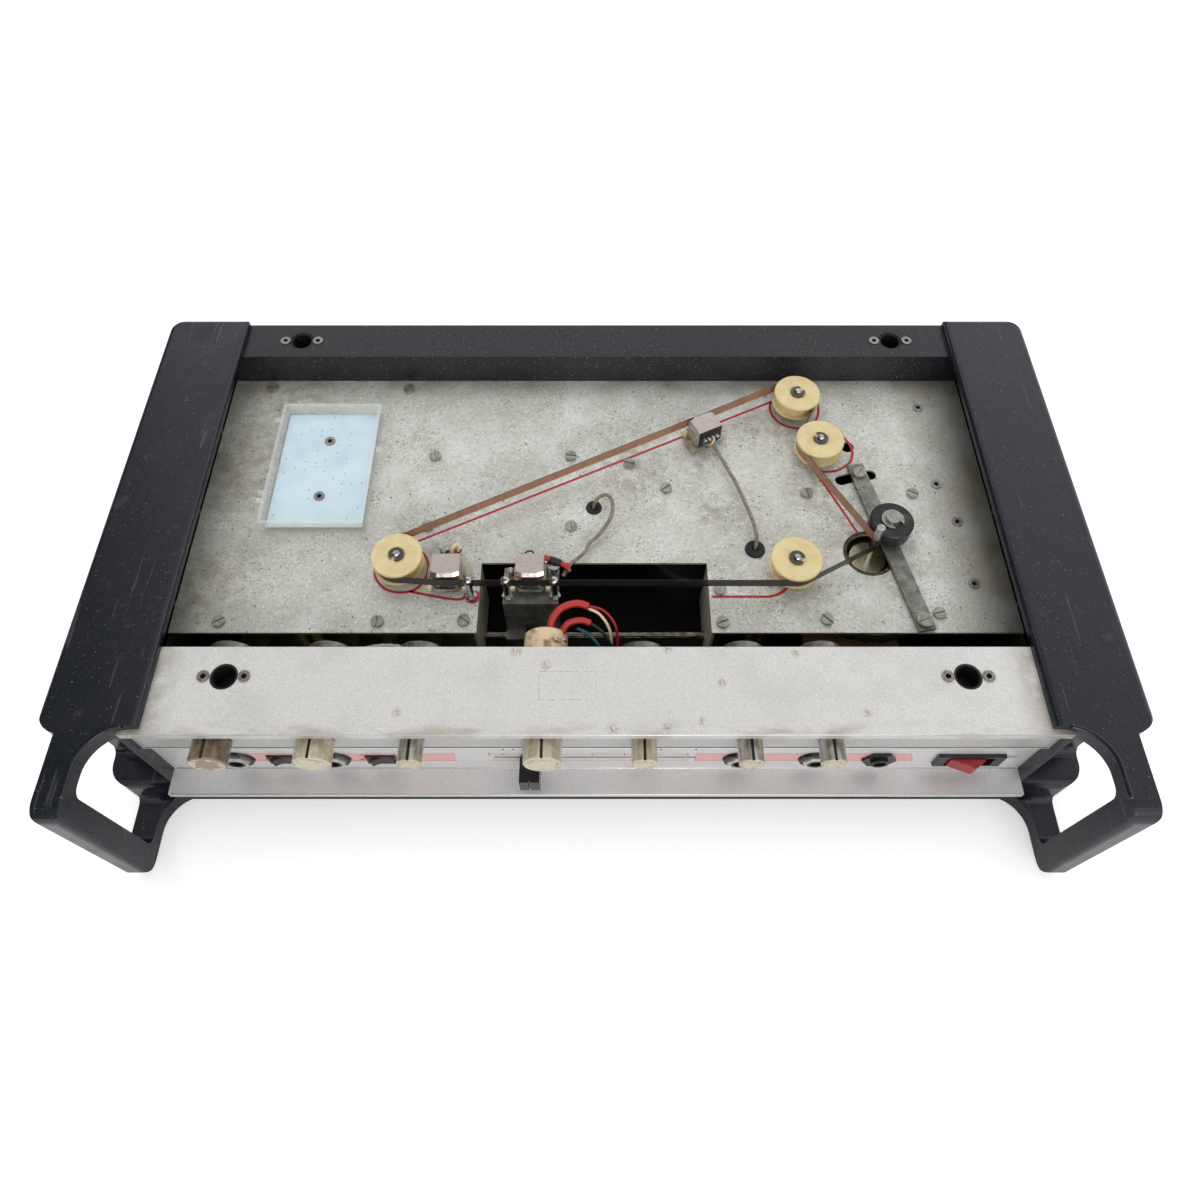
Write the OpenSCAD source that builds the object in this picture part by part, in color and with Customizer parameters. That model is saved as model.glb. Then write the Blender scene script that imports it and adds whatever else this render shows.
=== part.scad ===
// Tape echo unit: a folded chassis between two moulded end cheeks, a tape deck on top
// and a recessed control front. X runs right, Y away from the controls, Z up.
// The origin is on the table, under the middle of the unit.

/* [Case] */
// Width of the chassis between the cheeks
chassis_w = 458; // [440:1:500]
// Depth from the shelf edge to the rear face
body_d = 279; // [270:1:310]
// How far the handles reach in front of the shelf edge
handle_reach = 34; // [28:1:44]
// Thickness of a cheek outside the chassis
cheek_w = 37.5; // [32:0.5:48]
// Height of a cheek
cheek_h = 110; // [106:1:124]
// Height of the cheeks above the table
cheek_lift = 6; // [4:0.5:10]
// Inward overhang of the cheek's lips
lip_w = 10.5; // [6:0.5:14]
// Thickness of the cheek's lips
lip_t = 5; // [4:0.5:7]
// How far the cheek stands out beside the handle
bulge_w = 10.5; // [6:0.5:14]
// Plan radius of the cheek's outer corners
cheek_r = 13; // [11:0.5:16]
// Thickness of the cheek's inner wall
cheek_wall = 2.5; // [2:0.25:3.5]
// How far the inner wall reaches in front of the cheek's outer wall
wall_reach = 8.5; // [4:0.5:10]
// Thickness of the cheek's outer shell
shell_t = 4; // [3:0.5:6]

/* [Handle] */
// Depth of the upright grip, front to back
grip_d = 14; // [11:0.5:18]
// Width of the upright grip
grip_w = 12.7; // [11:0.5:15]
// Thickness of the handle's upper arm
arm_top_t = 11; // [9:0.5:14]
// Thickness of the handle's lower arm
arm_low_t = 10; // [8:0.5:14]
// Radius of the flare from the arm into the lip
flare_r = 21; // [16:1:24]
// Height of the solid block under the finger space
block_h = 30; // [24:1:40]
// Depth of the finger space behind the inner wall's edge
finger_d = 26; // [18:1:34]

/* [Sheet metal] */
// Thickness of the steel sheets
sheet_t = 1.6; // [1.2:0.1:2]
// Thickness of the control panel
panel_t = 1.5; // [1.2:0.1:2]
// Depth of the front rail
front_rail_d = 46.5; // [42:0.5:52]
// Depth of the rear rail
rear_rail_d = 27; // [22:0.5:34]
// Depth of the front rail's folded edges
rail_fold = 4.7; // [3:0.1:5]
// Drop from the rails to the deck
deck_drop = 22; // [18:0.5:26]
// Gap between the front rail and the deck
deck_gap = 19; // [14:0.5:24]
// Distance of the rear panel in from the rear face
rear_inset = 4; // [3:0.5:6]

/* [Deck notch and carriage] */
// Width of the notch for the sliding head
notch_w = 126; // [122:1:134]
// Centre of the notch
notch_x = -1; // [-3:0.5:3]
// Depth of the notch
notch_d = 43.4; // [42:0.2:48]
// Drop of the notch's side flanges
notch_fold = 43; // [41:0.5:46]
// Diameter of the carriage rod
rod_d = 5; // [4:0.25:6]
// Rod axis behind the deck's front edge
rod_y = 16; // [14:0.5:18]
// Rod axis under the deck
rod_drop = 35; // [33:0.5:37]
// Width of the head carriage
carriage_w = 30.5; // [28:0.5:33]
// Centre of the carriage at rest
carriage_x = -35.7; // [-40:0.1:-30]
// Carriage plate, front edge behind the deck's front edge
carriage_y = 17.5; // [16.5:0.25:18.5]
// Carriage plate, front to back
carriage_d = 22.7; // [21:0.1:23.5]
// Bearing block of the carriage, square side
block_s = 10; // [9:0.5:11]
// Travel of the carriage to the left
travel_left = 10; // [5:1:11]
// Travel of the carriage to the right
travel_right = 80; // [60:1:81]

/* [Control front] */
// Depth of the shelf under the controls
shelf_d = 14.5; // [12:0.5:18]
// Height of the shelf above the chassis floor
shelf_h = 31.5; // [28:0.5:34]
// Depth of the shelf's folded lip
shelf_lip = 4; // [3:0.5:6]
// Step between the upper and lower tiers
band_step = 3; // [2:0.5:4]
// Height of the upper tier
band_h = 29.5; // [28.5:0.5:31]
// Front rail's overhang in front of the upper tier
rail_over = 4; // [3:0.5:6]
// Knob axes under the rail top
knob_drop = 17; // [15.5:0.5:19]
// Diameter of the large knobs
knob_big_d = 19; // [16:0.5:21]
// Diameter of the small knobs
knob_small_d = 12.7; // [11:0.1:16]
// Length of the knobs
knob_l = 12; // [9:0.5:14]
// Gap between the knobs and the panel
knob_gap = 1; // [0.6:0.2:2]
// Large knobs along the panel
big_knob_x = [-189.5, -138.6, -26.3]; // [-200:0.1:200]
// Small knobs along the panel
small_knob_x = [-91, 23.7, 76, 116]; // [-200:0.1:200]
// Diameter of the knob spindles
spindle_d = 6.2; // [5:0.1:6.4]
// Distance of the potentiometer bar behind the lower tier
pot_bar_y = 32.5; // [31.5:0.5:35]
// Diameter of the potentiometers
pot_d = 23; // [20:0.5:23.4]
// Length of the potentiometers
pot_l = 12; // [9:0.5:16]
// Length of the switch on the delay-volume potentiometer
pot_switch_l = 8; // [5:0.5:12]
// Jack sockets along the panel
jack_x = [-189.5, -138.6, 76, 116]; // [-200:0.1:200]
// Footswitch socket along the panel
foot_jack_x = 149.5; // [140:0.5:158]
// Row of sockets and switches above the shelf
jack_h = 15.5; // [14:0.5:17]
// Bore of the jack sockets
jack_bore = 6.5; // [6.4:0.1:6.7]
// Thread diameter of the jack sockets
jack_thread = 9.4; // [9:0.1:10]
// Diameter of the ring round a jack socket
jack_ring_d = 18.5; // [16:0.5:20]
// Thickness of the ring round a jack socket
jack_ring_t = 1.6; // [1:0.1:3]
// Thickness of a jack socket's nut
jack_nut_t = 1.8; // [1.2:0.1:3]
// Depth of a jack socket's bore
jack_depth = 27; // [24:1:32]
// Echo rocker buttons along the panel
echo_x = [-165, -113.2]; // [-200:0.1:200]
// Width of an echo rocker button
echo_w = 11.6; // [10:0.2:12]
// Height of an echo rocker button
echo_h = 7.3; // [6:0.1:8]
// Mains switch along the panel
mains_x = 197; // [190:0.5:200]
// Width of the mains rocker
mains_w = 23; // [20:0.5:24]
// Height of the mains rocker
mains_h = 9.5; // [8:0.5:10]
// Tilt of the rocker buttons at rest
rocker_tilt = 8; // [4:0.5:8]
// Width of the slider's lever
lever_w = 10.5; // [8:0.1:12]
// How far the lever stands to the right of its blade
lever_dx = 1.2; // [0:0.1:2]
// Height of the slider's lever
lever_h = 12.7; // [10:0.1:14]
// Length of the slider's lever
lever_l = 14; // [10:0.5:16]
// Width of the slider's blade
blade_w = 8; // [6:0.5:9]

/* [Latches] */
// Distance of the latch holes from the middle
latch_x = 184; // [176:1:190]
// Latch holes behind the front rail's front edge
latch_front_y = 30.3; // [29.5:0.1:30.5]
// Latch holes in front of the rear face
latch_rear_y = 13.7; // [13:0.1:14]
// Diameter of the latch holes in the rails
latch_hole_d = 14; // [13:0.2:15]
// Bore of the latch cups
latch_bore = 11.6; // [10:0.2:11.8]
// Depth of the latch cups
latch_depth = 10.5; // [8:0.5:10.5]
// Distance of the latch rivets from the hole's centre
latch_rivet_x = 10.1; // [9.5:0.1:11]

/* [Tape path] */
// Pulley centres, X and distance behind the deck's front edge
pulley_at = [[122.8, 154.7], [132.2, 119], [-108.2, 38.8], [108.8, 36.6]]; // [-200:0.1:200]
// Diameter of the pulleys' hubs
hub_d = 24.4; // [22:0.2:25.5]
// Diameter of the pulleys' flanges
flange_d = 27.8; // [26.5:0.1:29]
// Thickness of the pulleys' flanges
flange_t = 1.6; // [1.2:0.1:2]
// Height of the pulleys above the deck
pulley_lift = 6.5; // [5.5:0.5:8]
// Diameter of the pulley posts
post_d = 4; // [3:0.25:5]
// Width of the tape
tape_w = 6.35; // [6:0.05:6.5]
// Thickness of the tape loop
tape_t = 0.3; // [0.2:0.05:0.4]
// Capstan, X and distance behind the deck's front edge
capstan_at = [154, 49.8]; // [-200:0.1:200]
// Diameter of the capstan shaft
capstan_d = 4.5; // [4:0.25:6]
// Height of the capstan above the deck
capstan_h = 26.5; // [22:0.5:26.5]
// Diameter of the round hole in the deck
capstan_hole_d = 25.4; // [24:0.2:27]
// Diameter of the flywheel's boss
boss_d = 22; // [18:0.5:23]
// Diameter of the flywheel
flywheel_d = 90; // [80:1:92]
// Thickness of the flywheel's rim
flywheel_t = 12; // [9:0.5:14]
// Flywheel's upper face under the deck
flywheel_drop = 11; // [10:0.5:13]
// Drive motor, X and distance behind the deck's front edge
motor_at = [62, 79.5]; // [-200:0.1:200]
// Diameter of the motor
motor_d = 60; // [50:1:62]
// Height of the motor
motor_h = 43; // [36:1:46]
// Diameter of the motor pulley
motor_pulley_d = 14; // [10:0.5:18]

/* [Pinch arm] */
// Direction from the capstan to the pinch roller
pinch_angle = 47; // [44:1:50]
// Diameter of the pinch roller
roller_d = 24; // [22:0.5:25]
// Height of the pinch roller
roller_h = 10; // [8:0.5:11]
// Diameter of the roller's pin
roller_pin_d = 8; // [6:0.25:9]
// Arm pivot, X and distance behind the deck's front edge
arm_pivot = [175.8, 5.4]; // [-200:0.1:200]
// Distance from the pivot to the arm's end pin
arm_pin_r = 100; // [96:0.5:102]
// Width of the arm
arm_w = 9.5; // [8:0.25:11]
// Thickness of the arm
arm_t = 2; // [1.5:0.1:2.5]
// Height of the arm above the deck
arm_lift = 1; // [0.6:0.1:1.5]
// Swing of the arm away from the capstan
arm_swing = 4; // [2:0.5:4.5]
// Swing that the slot leaves on the capstan's side
slot_spare = 6.2; // [5:0.2:7]
// Width of the slot under the arm's end
slot_w = 7; // [6:0.2:8]
// Diameter of the arm's end pin
arm_pin_d = 5; // [4:0.2:5.4]

/* [Heads] */
// Width of a head along the tape
head_w = 15.5; // [14:0.5:17]
// Depth of a head
head_d = 14.5; // [13:0.5:16]
// Height of a head
head_h = 12.4; // [11:0.2:13]
// Record head along the front run, from the deck's middle
record_x = -81; // [-84:0.5:-78]
// Erase head along the rear run, from its start
erase_s = 196; // [180:1:210]
// Guide post in front of the record head
guide_x = -68.2; // [-70:0.1:-67]
// Guide posts on the carriage, from its middle
guide_dx = [-12.5, 13.3]; // [-14:0.1:14]
// Diameter of the guide posts
guide_d = 3.6; // [3:0.2:4.4]
// Diameter of the guide posts' ball heads
ball_d = 5.4; // [4.8:0.2:6]

/* [Spare-tape tray] */
// Width of the tray
tray_w = 60; // [54:1:64]
// Length of the tray
tray_l = 88; // [80:1:92]
// Height of the tray
tray_h = 10; // [8:0.5:12]
// Wall of the tray
tray_t = 2; // [1.5:0.25:2.5]
// Tray centre, X and distance behind the deck's front edge
tray_at = [-161.2, 107.5]; // [-200:0.1:200]
// Spacing of the tray's rivets
tray_rivets = 40.7; // [36:0.5:46]

/* [Fasteners] */
// Diameter of the screw heads
screw_head_d = 6.8; // [5.4:0.2:7.4]
// Diameter of the screws' shanks
screw_d = 3; // [2.5:0.1:3.5]
// Flange diameter of the hollow rivets
rivet_d = 6.2; // [5:0.2:6.6]
// Hole through the hollow rivets
rivet_hole_d = 2.8; // [2:0.1:3]
// Diameter of the rubber feet
foot_d = 22; // [18:1:26]

/* [Hidden] */

$fn = 64;
gap = 0.3;              // between curved faces of different pieces
fit = 0.05;             // radial running clearance
over = 1;               // how far a cutter runs past a face

// Heights
cheek_z = cheek_lift;
top_z = cheek_z + cheek_h;
rail_z = top_z - lip_t;
base_z = cheek_z + lip_t;
floor_z = base_z + sheet_t;
deck_z = rail_z - deck_drop;
shelf_z = base_z + shelf_h;
knob_z = rail_z - knob_drop;
jack_z = shelf_z + jack_h;
band_z = rail_z - band_h;
pulley_z = deck_z + pulley_lift;
groove_h = tape_w + 0.45;
tape_z = pulley_z + flange_t + (groove_h - tape_w) / 2;
tape_mid_z = tape_z + tape_w / 2;

// Plan
half_w = chassis_w / 2;
total_d = body_d + handle_reach;
back_y = total_d / 2;
front_y = -back_y;
shelf_y = back_y - body_d;
panel_y = shelf_y + shelf_d;
band_y = panel_y - band_step;
rail_y = band_y - rail_over;
rail_back_y = rail_y + front_rail_d;
rear_rail_y = back_y - rear_rail_d;
deck_y = rail_back_y + deck_gap;
deck_back_y = rear_rail_y + sheet_t;
rear_panel_y = back_y - rear_inset;
wall_y = shelf_y + 1.5;
wall_front_y = wall_y - wall_reach;
out_x = half_w + cheek_w;
arm_out_x = out_x - bulge_w;
arm_in_x = arm_out_x - grip_w;
lip_x = half_w - lip_w;

// Places on the deck are measured from its front edge, on a deck this deep
given_depth = 179;
// The tape front keeps its distance from that edge; what is behind it keeps its share
tape_front = 62;
deck_share = (deck_back_y - deck_y - sheet_t - tape_front) / (given_depth - tape_front);
function on_deck(p) = [p[0], deck_y + min(p[1], tape_front) + max(p[1] - tape_front, 0) * deck_share];
function arc(c, r, a0, a1, n = 8) =
    [for (i = [0:n]) c + r * [cos(a0 + (a1 - a0) * i / n), sin(a0 + (a1 - a0) * i / n)]];

// Places a part that is drawn on the panel's plane: its X and Z stay, its depth runs
// towards the back.
module from_front() { rotate([-90, 0, 0]) children(); }

// ---------------------------------------------------------------- end cheeks

// Plan of a cheek: lip, flare into the handle's arm, grip, bulge and rounded corners
module cheek_plan() {
    throat_y = panel_y - 4;
    corner_r = 3;
    nose_a = -acos((cheek_r - bulge_w) / cheek_r);
    nose_y = wall_y + cheek_r + 5;
    polygon(concat(
        [[lip_x, back_y], [lip_x, throat_y]],
        arc([arm_in_x - flare_r, throat_y - flare_r], flare_r, 90, 0, 12),
        arc([arm_in_x + corner_r, front_y + corner_r], corner_r, 180, 270, 4),
        arc([arm_out_x - corner_r, front_y + corner_r], corner_r, 270, 360, 4),
        arc([out_x - cheek_r, nose_y], cheek_r, nose_a, 0, 8),
        arc([out_x - cheek_r, back_y - cheek_r], cheek_r, 0, 90, 8)));
}

// Side outline of a cheek with its handle
module cheek_side() {
    front_r = 9;
    back_r = 3;
    polygon(concat(
        arc([front_y + front_r, top_z - front_r], front_r, 90, 180),
        arc([front_y + front_r, cheek_z + front_r], front_r, 180, 270),
        arc([back_y - back_r, cheek_z + back_r], back_r, 270, 360, 4),
        arc([back_y - back_r, top_z - back_r], back_r, 0, 90, 4)));
}

// Front outline of a cheek: the outer edges are rounded over
module cheek_front() {
    edge_r = 3;
    low_r = 7;
    polygon(concat(
        [[lip_x - over, cheek_z]],
        arc([out_x - low_r, cheek_z + low_r], low_r, 270, 360, 6),
        arc([out_x - edge_r, top_z - edge_r], edge_r, 0, 90, 5),
        arc([lip_x + edge_r, top_z - edge_r], edge_r, 90, 160, 4)));
}

// Side outline of the hand opening: it drops in front of the block and runs back over it
module hand_opening() {
    r = 5;
    y0 = front_y + grip_d;
    y1 = wall_y + 5;
    y2 = wall_y + finger_d;
    z0 = cheek_z + arm_low_t;
    z1 = cheek_z + block_h;
    z2 = top_z - arm_top_t;
    polygon(concat(
        arc([y0 + r, z0 + r], r, 270, 180, 5),
        arc([y0 + r, z2 - r], r, 180, 90, 5),
        arc([y2 - r, z2 - r], r, 90, 0, 5),
        arc([y2 - r, z1 + r], r, 0, -90, 5),
        arc([y1 + r, z1 - r], r, 90, 180, 5),
        arc([y1 - r, z0 + r], r, 0, -90, 5)));
}

// The moulding is hollow on the chassis side, with ribs across
module cheek_hollow() {
    rib_t = 3;
    ribs = 4;
    y0 = wall_y + finger_d + shell_t;
    y1 = back_y - shell_t - cheek_r / 2;
    pitch = (y1 - y0 + rib_t) / ribs;
    for (i = [0:ribs - 1])
        translate([half_w - over, y0 + i * pitch, cheek_z + lip_t + shell_t])
            cube([cheek_w + over - shell_t - 3, pitch - rib_t,
                  cheek_h - 2 * lip_t - 2 * shell_t]);
}

module cheek() {
    color([0.07, 0.075, 0.09])
    difference() {
        intersection() {
            translate([0, 0, cheek_z]) linear_extrude(cheek_h) cheek_plan();
            translate([lip_x - over, 0, 0]) rotate([90, 0, 90])
                linear_extrude(out_x - lip_x + 2 * over) cheek_side();
            translate([0, back_y + over, 0]) rotate([90, 0, 0])
                linear_extrude(total_d + 2 * over) cheek_front();
        }
        // room for the chassis between the lips
        translate([lip_x - over, front_y - over, base_z])
            cube([lip_w + over, total_d + 2 * over, rail_z - base_z]);
        // hand opening, outside the inner wall
        translate([half_w + cheek_wall, 0, 0]) rotate([90, 0, 90])
            linear_extrude(cheek_w + over) hand_opening();
        // hand opening, through the inner wall in front of its edge
        translate([half_w - over, front_y + grip_d, cheek_z + arm_low_t])
            cube([cheek_wall + 2 * over, wall_front_y - front_y - grip_d,
                  cheek_h - arm_low_t - arm_top_t]);
        cheek_hollow();
    }
}

module right_cheek() { cheek(); }

module left_cheek() { mirror([1, 0, 0]) cheek(); }

// ---------------------------------------------------------------- sheet metal

// Extrudes a side outline (Y, Z) over the width w, centred
module across(w) { translate([-w / 2, 0, 0]) rotate([90, 0, 90]) linear_extrude(w) children(); }

module chassis_tray() {
    front_wall_y = shelf_y + 7;
    high = rail_z - sheet_t;
    low = deck_z - sheet_t;
    rear = rear_panel_y - sheet_t;
    color([0.17, 0.17, 0.18]) {
        difference() {
            union() {
                translate([-half_w, front_wall_y, base_z])
                    cube([chassis_w, rear - front_wall_y, sheet_t]);
                translate([-half_w, front_wall_y, base_z])
                    cube([chassis_w, sheet_t, shelf_z - panel_t - base_z]);
                for (side = [0, 1]) mirror([side, 0, 0])
                    translate([half_w - sheet_t, 0, 0]) rotate([90, 0, 90])
                        linear_extrude(sheet_t) polygon([
                            [front_wall_y, base_z], [front_wall_y, shelf_z - panel_t],
                            [panel_y + panel_t, shelf_z - panel_t],
                            [panel_y + panel_t, high],
                            [rail_back_y - sheet_t - gap, high],
                            [rail_back_y - sheet_t - gap, low],
                            [deck_back_y + gap, low],
                            [deck_back_y + gap, high],
                            [rear, high], [rear, base_z]]);
            }
            for (p = foot_at) translate([p[0], p[1], base_z - over])
                cylinder(d = foot_screw_d + 2 * fit, h = sheet_t + 2 * over);
        }
    }
}

module front_rail() {
    color([0.75, 0.74, 0.72])
    difference() {
        across(chassis_w) union() {
            translate([rail_y, rail_z - sheet_t]) square([front_rail_d, sheet_t]);
            translate([rail_y, rail_z - rail_fold]) square([sheet_t, rail_fold]);
            translate([rail_back_y - sheet_t, rail_z - rail_fold]) square([sheet_t, rail_fold]);
        }
        for (p = front_latches) latch_holes(p);
    }
}

module rear_rail() {
    color([0.1, 0.11, 0.13])
    difference() {
        across(chassis_w) union() {
            translate([rear_rail_y, rail_z - sheet_t]) square([rear_rail_d, sheet_t]);
            translate([rear_rail_y, deck_z]) square([sheet_t, deck_drop]);
            translate([back_y - sheet_t, deck_z]) square([sheet_t, deck_drop]);
        }
        for (p = rear_latches) latch_holes(p);
    }
}

module rear_panel() {
    color([0.1, 0.11, 0.13])
    difference() {
        translate([-half_w, rear_panel_y - sheet_t, base_z])
            cube([chassis_w, sheet_t, rail_z - sheet_t - base_z]);
        translate([inlet_x - inlet_w / 2, rear_panel_y - sheet_t - over, rear_z - inlet_h / 2])
            cube([inlet_w, sheet_t + 2 * over, inlet_h]);
        translate([fuse_x, rear_panel_y - sheet_t - over, rear_z]) from_front()
            cylinder(d = fuse_d + 2 * fit, h = sheet_t + 2 * over);
    }
}

// One folded sheet: upper tier, step, lower tier, shelf and lip
module control_panel() {
    slot_h = blade_t + 0.8;
    slot_end = 4;
    color([0.8, 0.79, 0.78])
    difference() {
        across(chassis_w) union() {
            translate([band_y, band_z]) square([panel_t, rail_z - sheet_t - band_z]);
            translate([band_y, band_z]) square([band_step + panel_t, panel_t]);
            translate([panel_y, shelf_z - panel_t])
                square([panel_t, band_z + 2 * panel_t - shelf_z]);
            translate([shelf_y, shelf_z - panel_t]) square([shelf_d + panel_t, panel_t]);
            translate([shelf_y, shelf_z - shelf_lip]) square([panel_t, shelf_lip]);
        }
        for (k = knobs) translate([k[0], band_y - over, knob_z]) from_front()
            cylinder(d = spindle_d + 1, h = panel_t + 2 * over);
        for (x = concat(jack_x, [foot_jack_x])) translate([x, panel_y - over, jack_z])
            from_front() cylinder(d = jack_thread + 2 * fit, h = panel_t + 2 * over);
        for (s = switches) translate([s[0], panel_y + panel_t / 2, jack_z])
            cube([s[3] + 2 * fit, panel_t + 2 * over, s[4] + 2 * fit], center = true);
        translate([carriage_x - travel_left - blade_w / 2 - slot_end, panel_y - over,
                   blade_z + blade_t / 2 - slot_h / 2])
            cube([travel_left + travel_right + blade_w + 2 * slot_end, panel_t + 2 * over,
                  slot_h]);
    }
}

// Deck sheet with its notch, notch flanges and holes
module deck_plate() {
    left = notch_x - notch_w / 2;
    right = notch_x + notch_w / 2;
    color([0.66, 0.67, 0.65])
    difference() {
        union() {
            translate([-half_w, deck_y, deck_z - sheet_t])
                cube([chassis_w, deck_back_y - deck_y, sheet_t]);
            for (x = [left - sheet_t, right])
                translate([x, deck_y, deck_z - notch_fold])
                    cube([sheet_t, notch_d, notch_fold]);
        }
        translate([left, deck_y - over, deck_z - notch_fold - over])
            cube([notch_w, notch_d + over, notch_fold + 2 * over]);
        translate([left - over - sheet_t, deck_y + rod_y, rod_z]) rotate([0, 90, 0])
            cylinder(d = rod_d + 2 * fit, h = notch_w + 2 * (over + sheet_t));
        deck_hole(on_deck(capstan_at), capstan_hole_d);
        deck_hole(on_deck(side_hole_at), side_hole_d);
        for (g = grommet_at) deck_hole(on_deck(g), g[2] - 2 * grommet_lip);
        for (p = screw_at) deck_hole(on_deck(p), screw_d + 2 * fit);
        for (p = deck_rivet_at) deck_hole(on_deck(p), rivet_body_d + 2 * fit);
        for (p = tray_rivet_at) deck_hole(p, rivet_body_d + 2 * fit);
        arm_slot();
    }
}

module deck_hole(p, d) {
    translate([p[0], p[1], deck_z - sheet_t - over]) cylinder(d = d, h = sheet_t + 2 * over);
}

// Slot that the arm's end pin swings in, curved about the arm's pivot
module arm_slot() {
    p = on_deck(arm_pivot);
    a0 = arm_angle - arm_swing - 0.4;
    a1 = arm_angle + slot_spare;
    r = slot_w / 2;
    steps = 8;
    translate([p[0], p[1], deck_z - sheet_t - over]) linear_extrude(sheet_t + 2 * over)
        polygon(concat(
            arc([0, 0], arm_pin_r + r, a0, a1, steps),
            [for (i = [1:steps - 1]) let (a = a1 + 180 * i / steps)
                arm_pin_r * [cos(a1), sin(a1)] + r * [cos(a), sin(a)]],
            arc([0, 0], arm_pin_r - r, a1, a0, steps),
            [for (i = [1:steps - 1]) let (a = a0 + 180 + 180 * i / steps)
                arm_pin_r * [cos(a0), sin(a0)] + r * [cos(a), sin(a)]]));
}

// Small fastener positions, X and distance behind the deck's front edge
screw_at = [
    [-204.5, 172.2], [-118.2, 171.3], [-96.8, 118], [-15.1, 118], [-96.6, 67.5],
    [-14.3, 67.5], [19.8, 112.3], [41.2, 94.3], [123.7, 90.7], [185.5, 90.7],
    [-202.9, 6.4], [-117.6, 6.4], [-71.3, 7], [68.1, 5.8], [68, 26.1],
    [124.5, 7.6], [185.6, 11.3]];
deck_rivet_at = [[201.1, 156.5], [201, 97.6], [207.8, 71], [208.6, 29.9]];
side_hole_at = [152.5, 125.6];
side_hole_d = 8;
grommet_lip = 1.4;
// Grommets: X, distance behind the deck's front edge, outer diameter
grommet_at = [[89.8, 52.3, 11.6], [-1.2, 80.7, 9.4]];
rivet_body_d = rivet_hole_d + 1.4;
tray_rivet_at = [for (s = [-1, 1]) on_deck(tray_at) + [0, s * tray_rivets / 2]];

// ---------------------------------------------------------------- feet and pillars

foot_screw_d = 4;
foot_at = [for (x = [-1, 1], y = [-1, 1])
    [x * (half_w - 34), (shelf_y + back_y) / 2 + y * (body_d / 2 - 28)]];

module rubber_feet() {
    color([0.05, 0.05, 0.05])
    for (p = foot_at) translate([p[0], p[1], 0]) {
        cylinder(d1 = foot_d - 3, d2 = foot_d, h = base_z);
        cylinder(d = foot_screw_d, h = floor_z + 2);
    }
}

pillar_at = [[-163, 7.5], [-155, 7.5], [86, 7.5], [92, 7.5]];
pillar_d = 5;

module deck_pillars() {
    color([0.72, 0.56, 0.25])
    for (p = pillar_at) translate([p[0], on_deck(p)[1], floor_z])
        cylinder(d = pillar_d, h = deck_z - sheet_t - floor_z);
}

// ---------------------------------------------------------------- latches and fasteners

front_latches = [for (s = [-1, 1]) [s * latch_x, rail_y + latch_front_y]];
rear_latches = [for (s = [-1, 1]) [s * latch_x, back_y - latch_rear_y]];
latches = concat(front_latches, rear_latches);
cup_plate_t = 1.5;

module latch_holes(p) {
    translate([p[0], p[1], rail_z - sheet_t - over]) {
        cylinder(d = latch_hole_d, h = sheet_t + 2 * over);
        for (s = [-1, 1]) translate([s * latch_rivet_x, 0, 0])
            cylinder(d = rivet_body_d + 2 * fit, h = sheet_t + 2 * over);
    }
}

// Cup under a latch hole, with a plate that two rivets hold to the rail
module latch_cup() {
    cup_d = latch_hole_d - 2 * gap;
    plate_l = 2 * latch_rivet_x + rivet_d + 2;
    plate_w = cup_d + 1;
    bottom = 1.2;
    difference() {
        union() {
            translate([0, 0, -latch_depth - bottom - 0.4]) cylinder(d = cup_d, h = latch_depth + bottom);
            translate([-plate_l / 2, -plate_w / 2, -sheet_t - cup_plate_t])
                cube([plate_l, plate_w, cup_plate_t]);
        }
        translate([0, 0, -latch_depth - 0.4]) cylinder(d = latch_bore, h = latch_depth + over);
        for (s = [-1, 1]) translate([s * latch_rivet_x, 0, -sheet_t - cup_plate_t - over])
            cylinder(d = rivet_body_d + 2 * fit, h = cup_plate_t + 2 * over);
    }
}

module latch_cups() {
    color([0.06, 0.06, 0.06])
    for (p = latches) translate([p[0], p[1], rail_z]) latch_cup();
}

// Hollow rivet through the thickness h, its upper face at z = 0
module hollow_rivet(h) {
    head_t = 0.7;
    difference() {
        union() {
            cylinder(d = rivet_d, h = head_t);
            translate([0, 0, -h]) cylinder(d = rivet_body_d, h = h + head_t / 2);
            translate([0, 0, -h - head_t]) cylinder(d = rivet_d - 1, h = head_t);
        }
        translate([0, 0, -h - head_t - over])
            cylinder(d = rivet_hole_d, h = h + 2 * head_t + 2 * over);
    }
}

module hollow_rivets() {
    color([0.7, 0.69, 0.66]) {
        for (p = latches, s = [-1, 1]) translate([p[0] + s * latch_rivet_x, p[1], rail_z])
            hollow_rivet(sheet_t + cup_plate_t);
        for (p = deck_rivet_at) translate([p[0], on_deck(p)[1], deck_z]) hollow_rivet(sheet_t);
        for (p = tray_rivet_at) translate([p[0], p[1], deck_z + tray_t + card_t])
            hollow_rivet(sheet_t + tray_t + card_t);
    }
}

module slotted_head(d, h, turn) {
    slot = 0.9;
    difference() {
        cylinder(d = d, h = h);
        rotate([0, 0, turn]) translate([-d, -slot / 2, h / 2]) cube([2 * d, slot, h]);
    }
}

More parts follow.
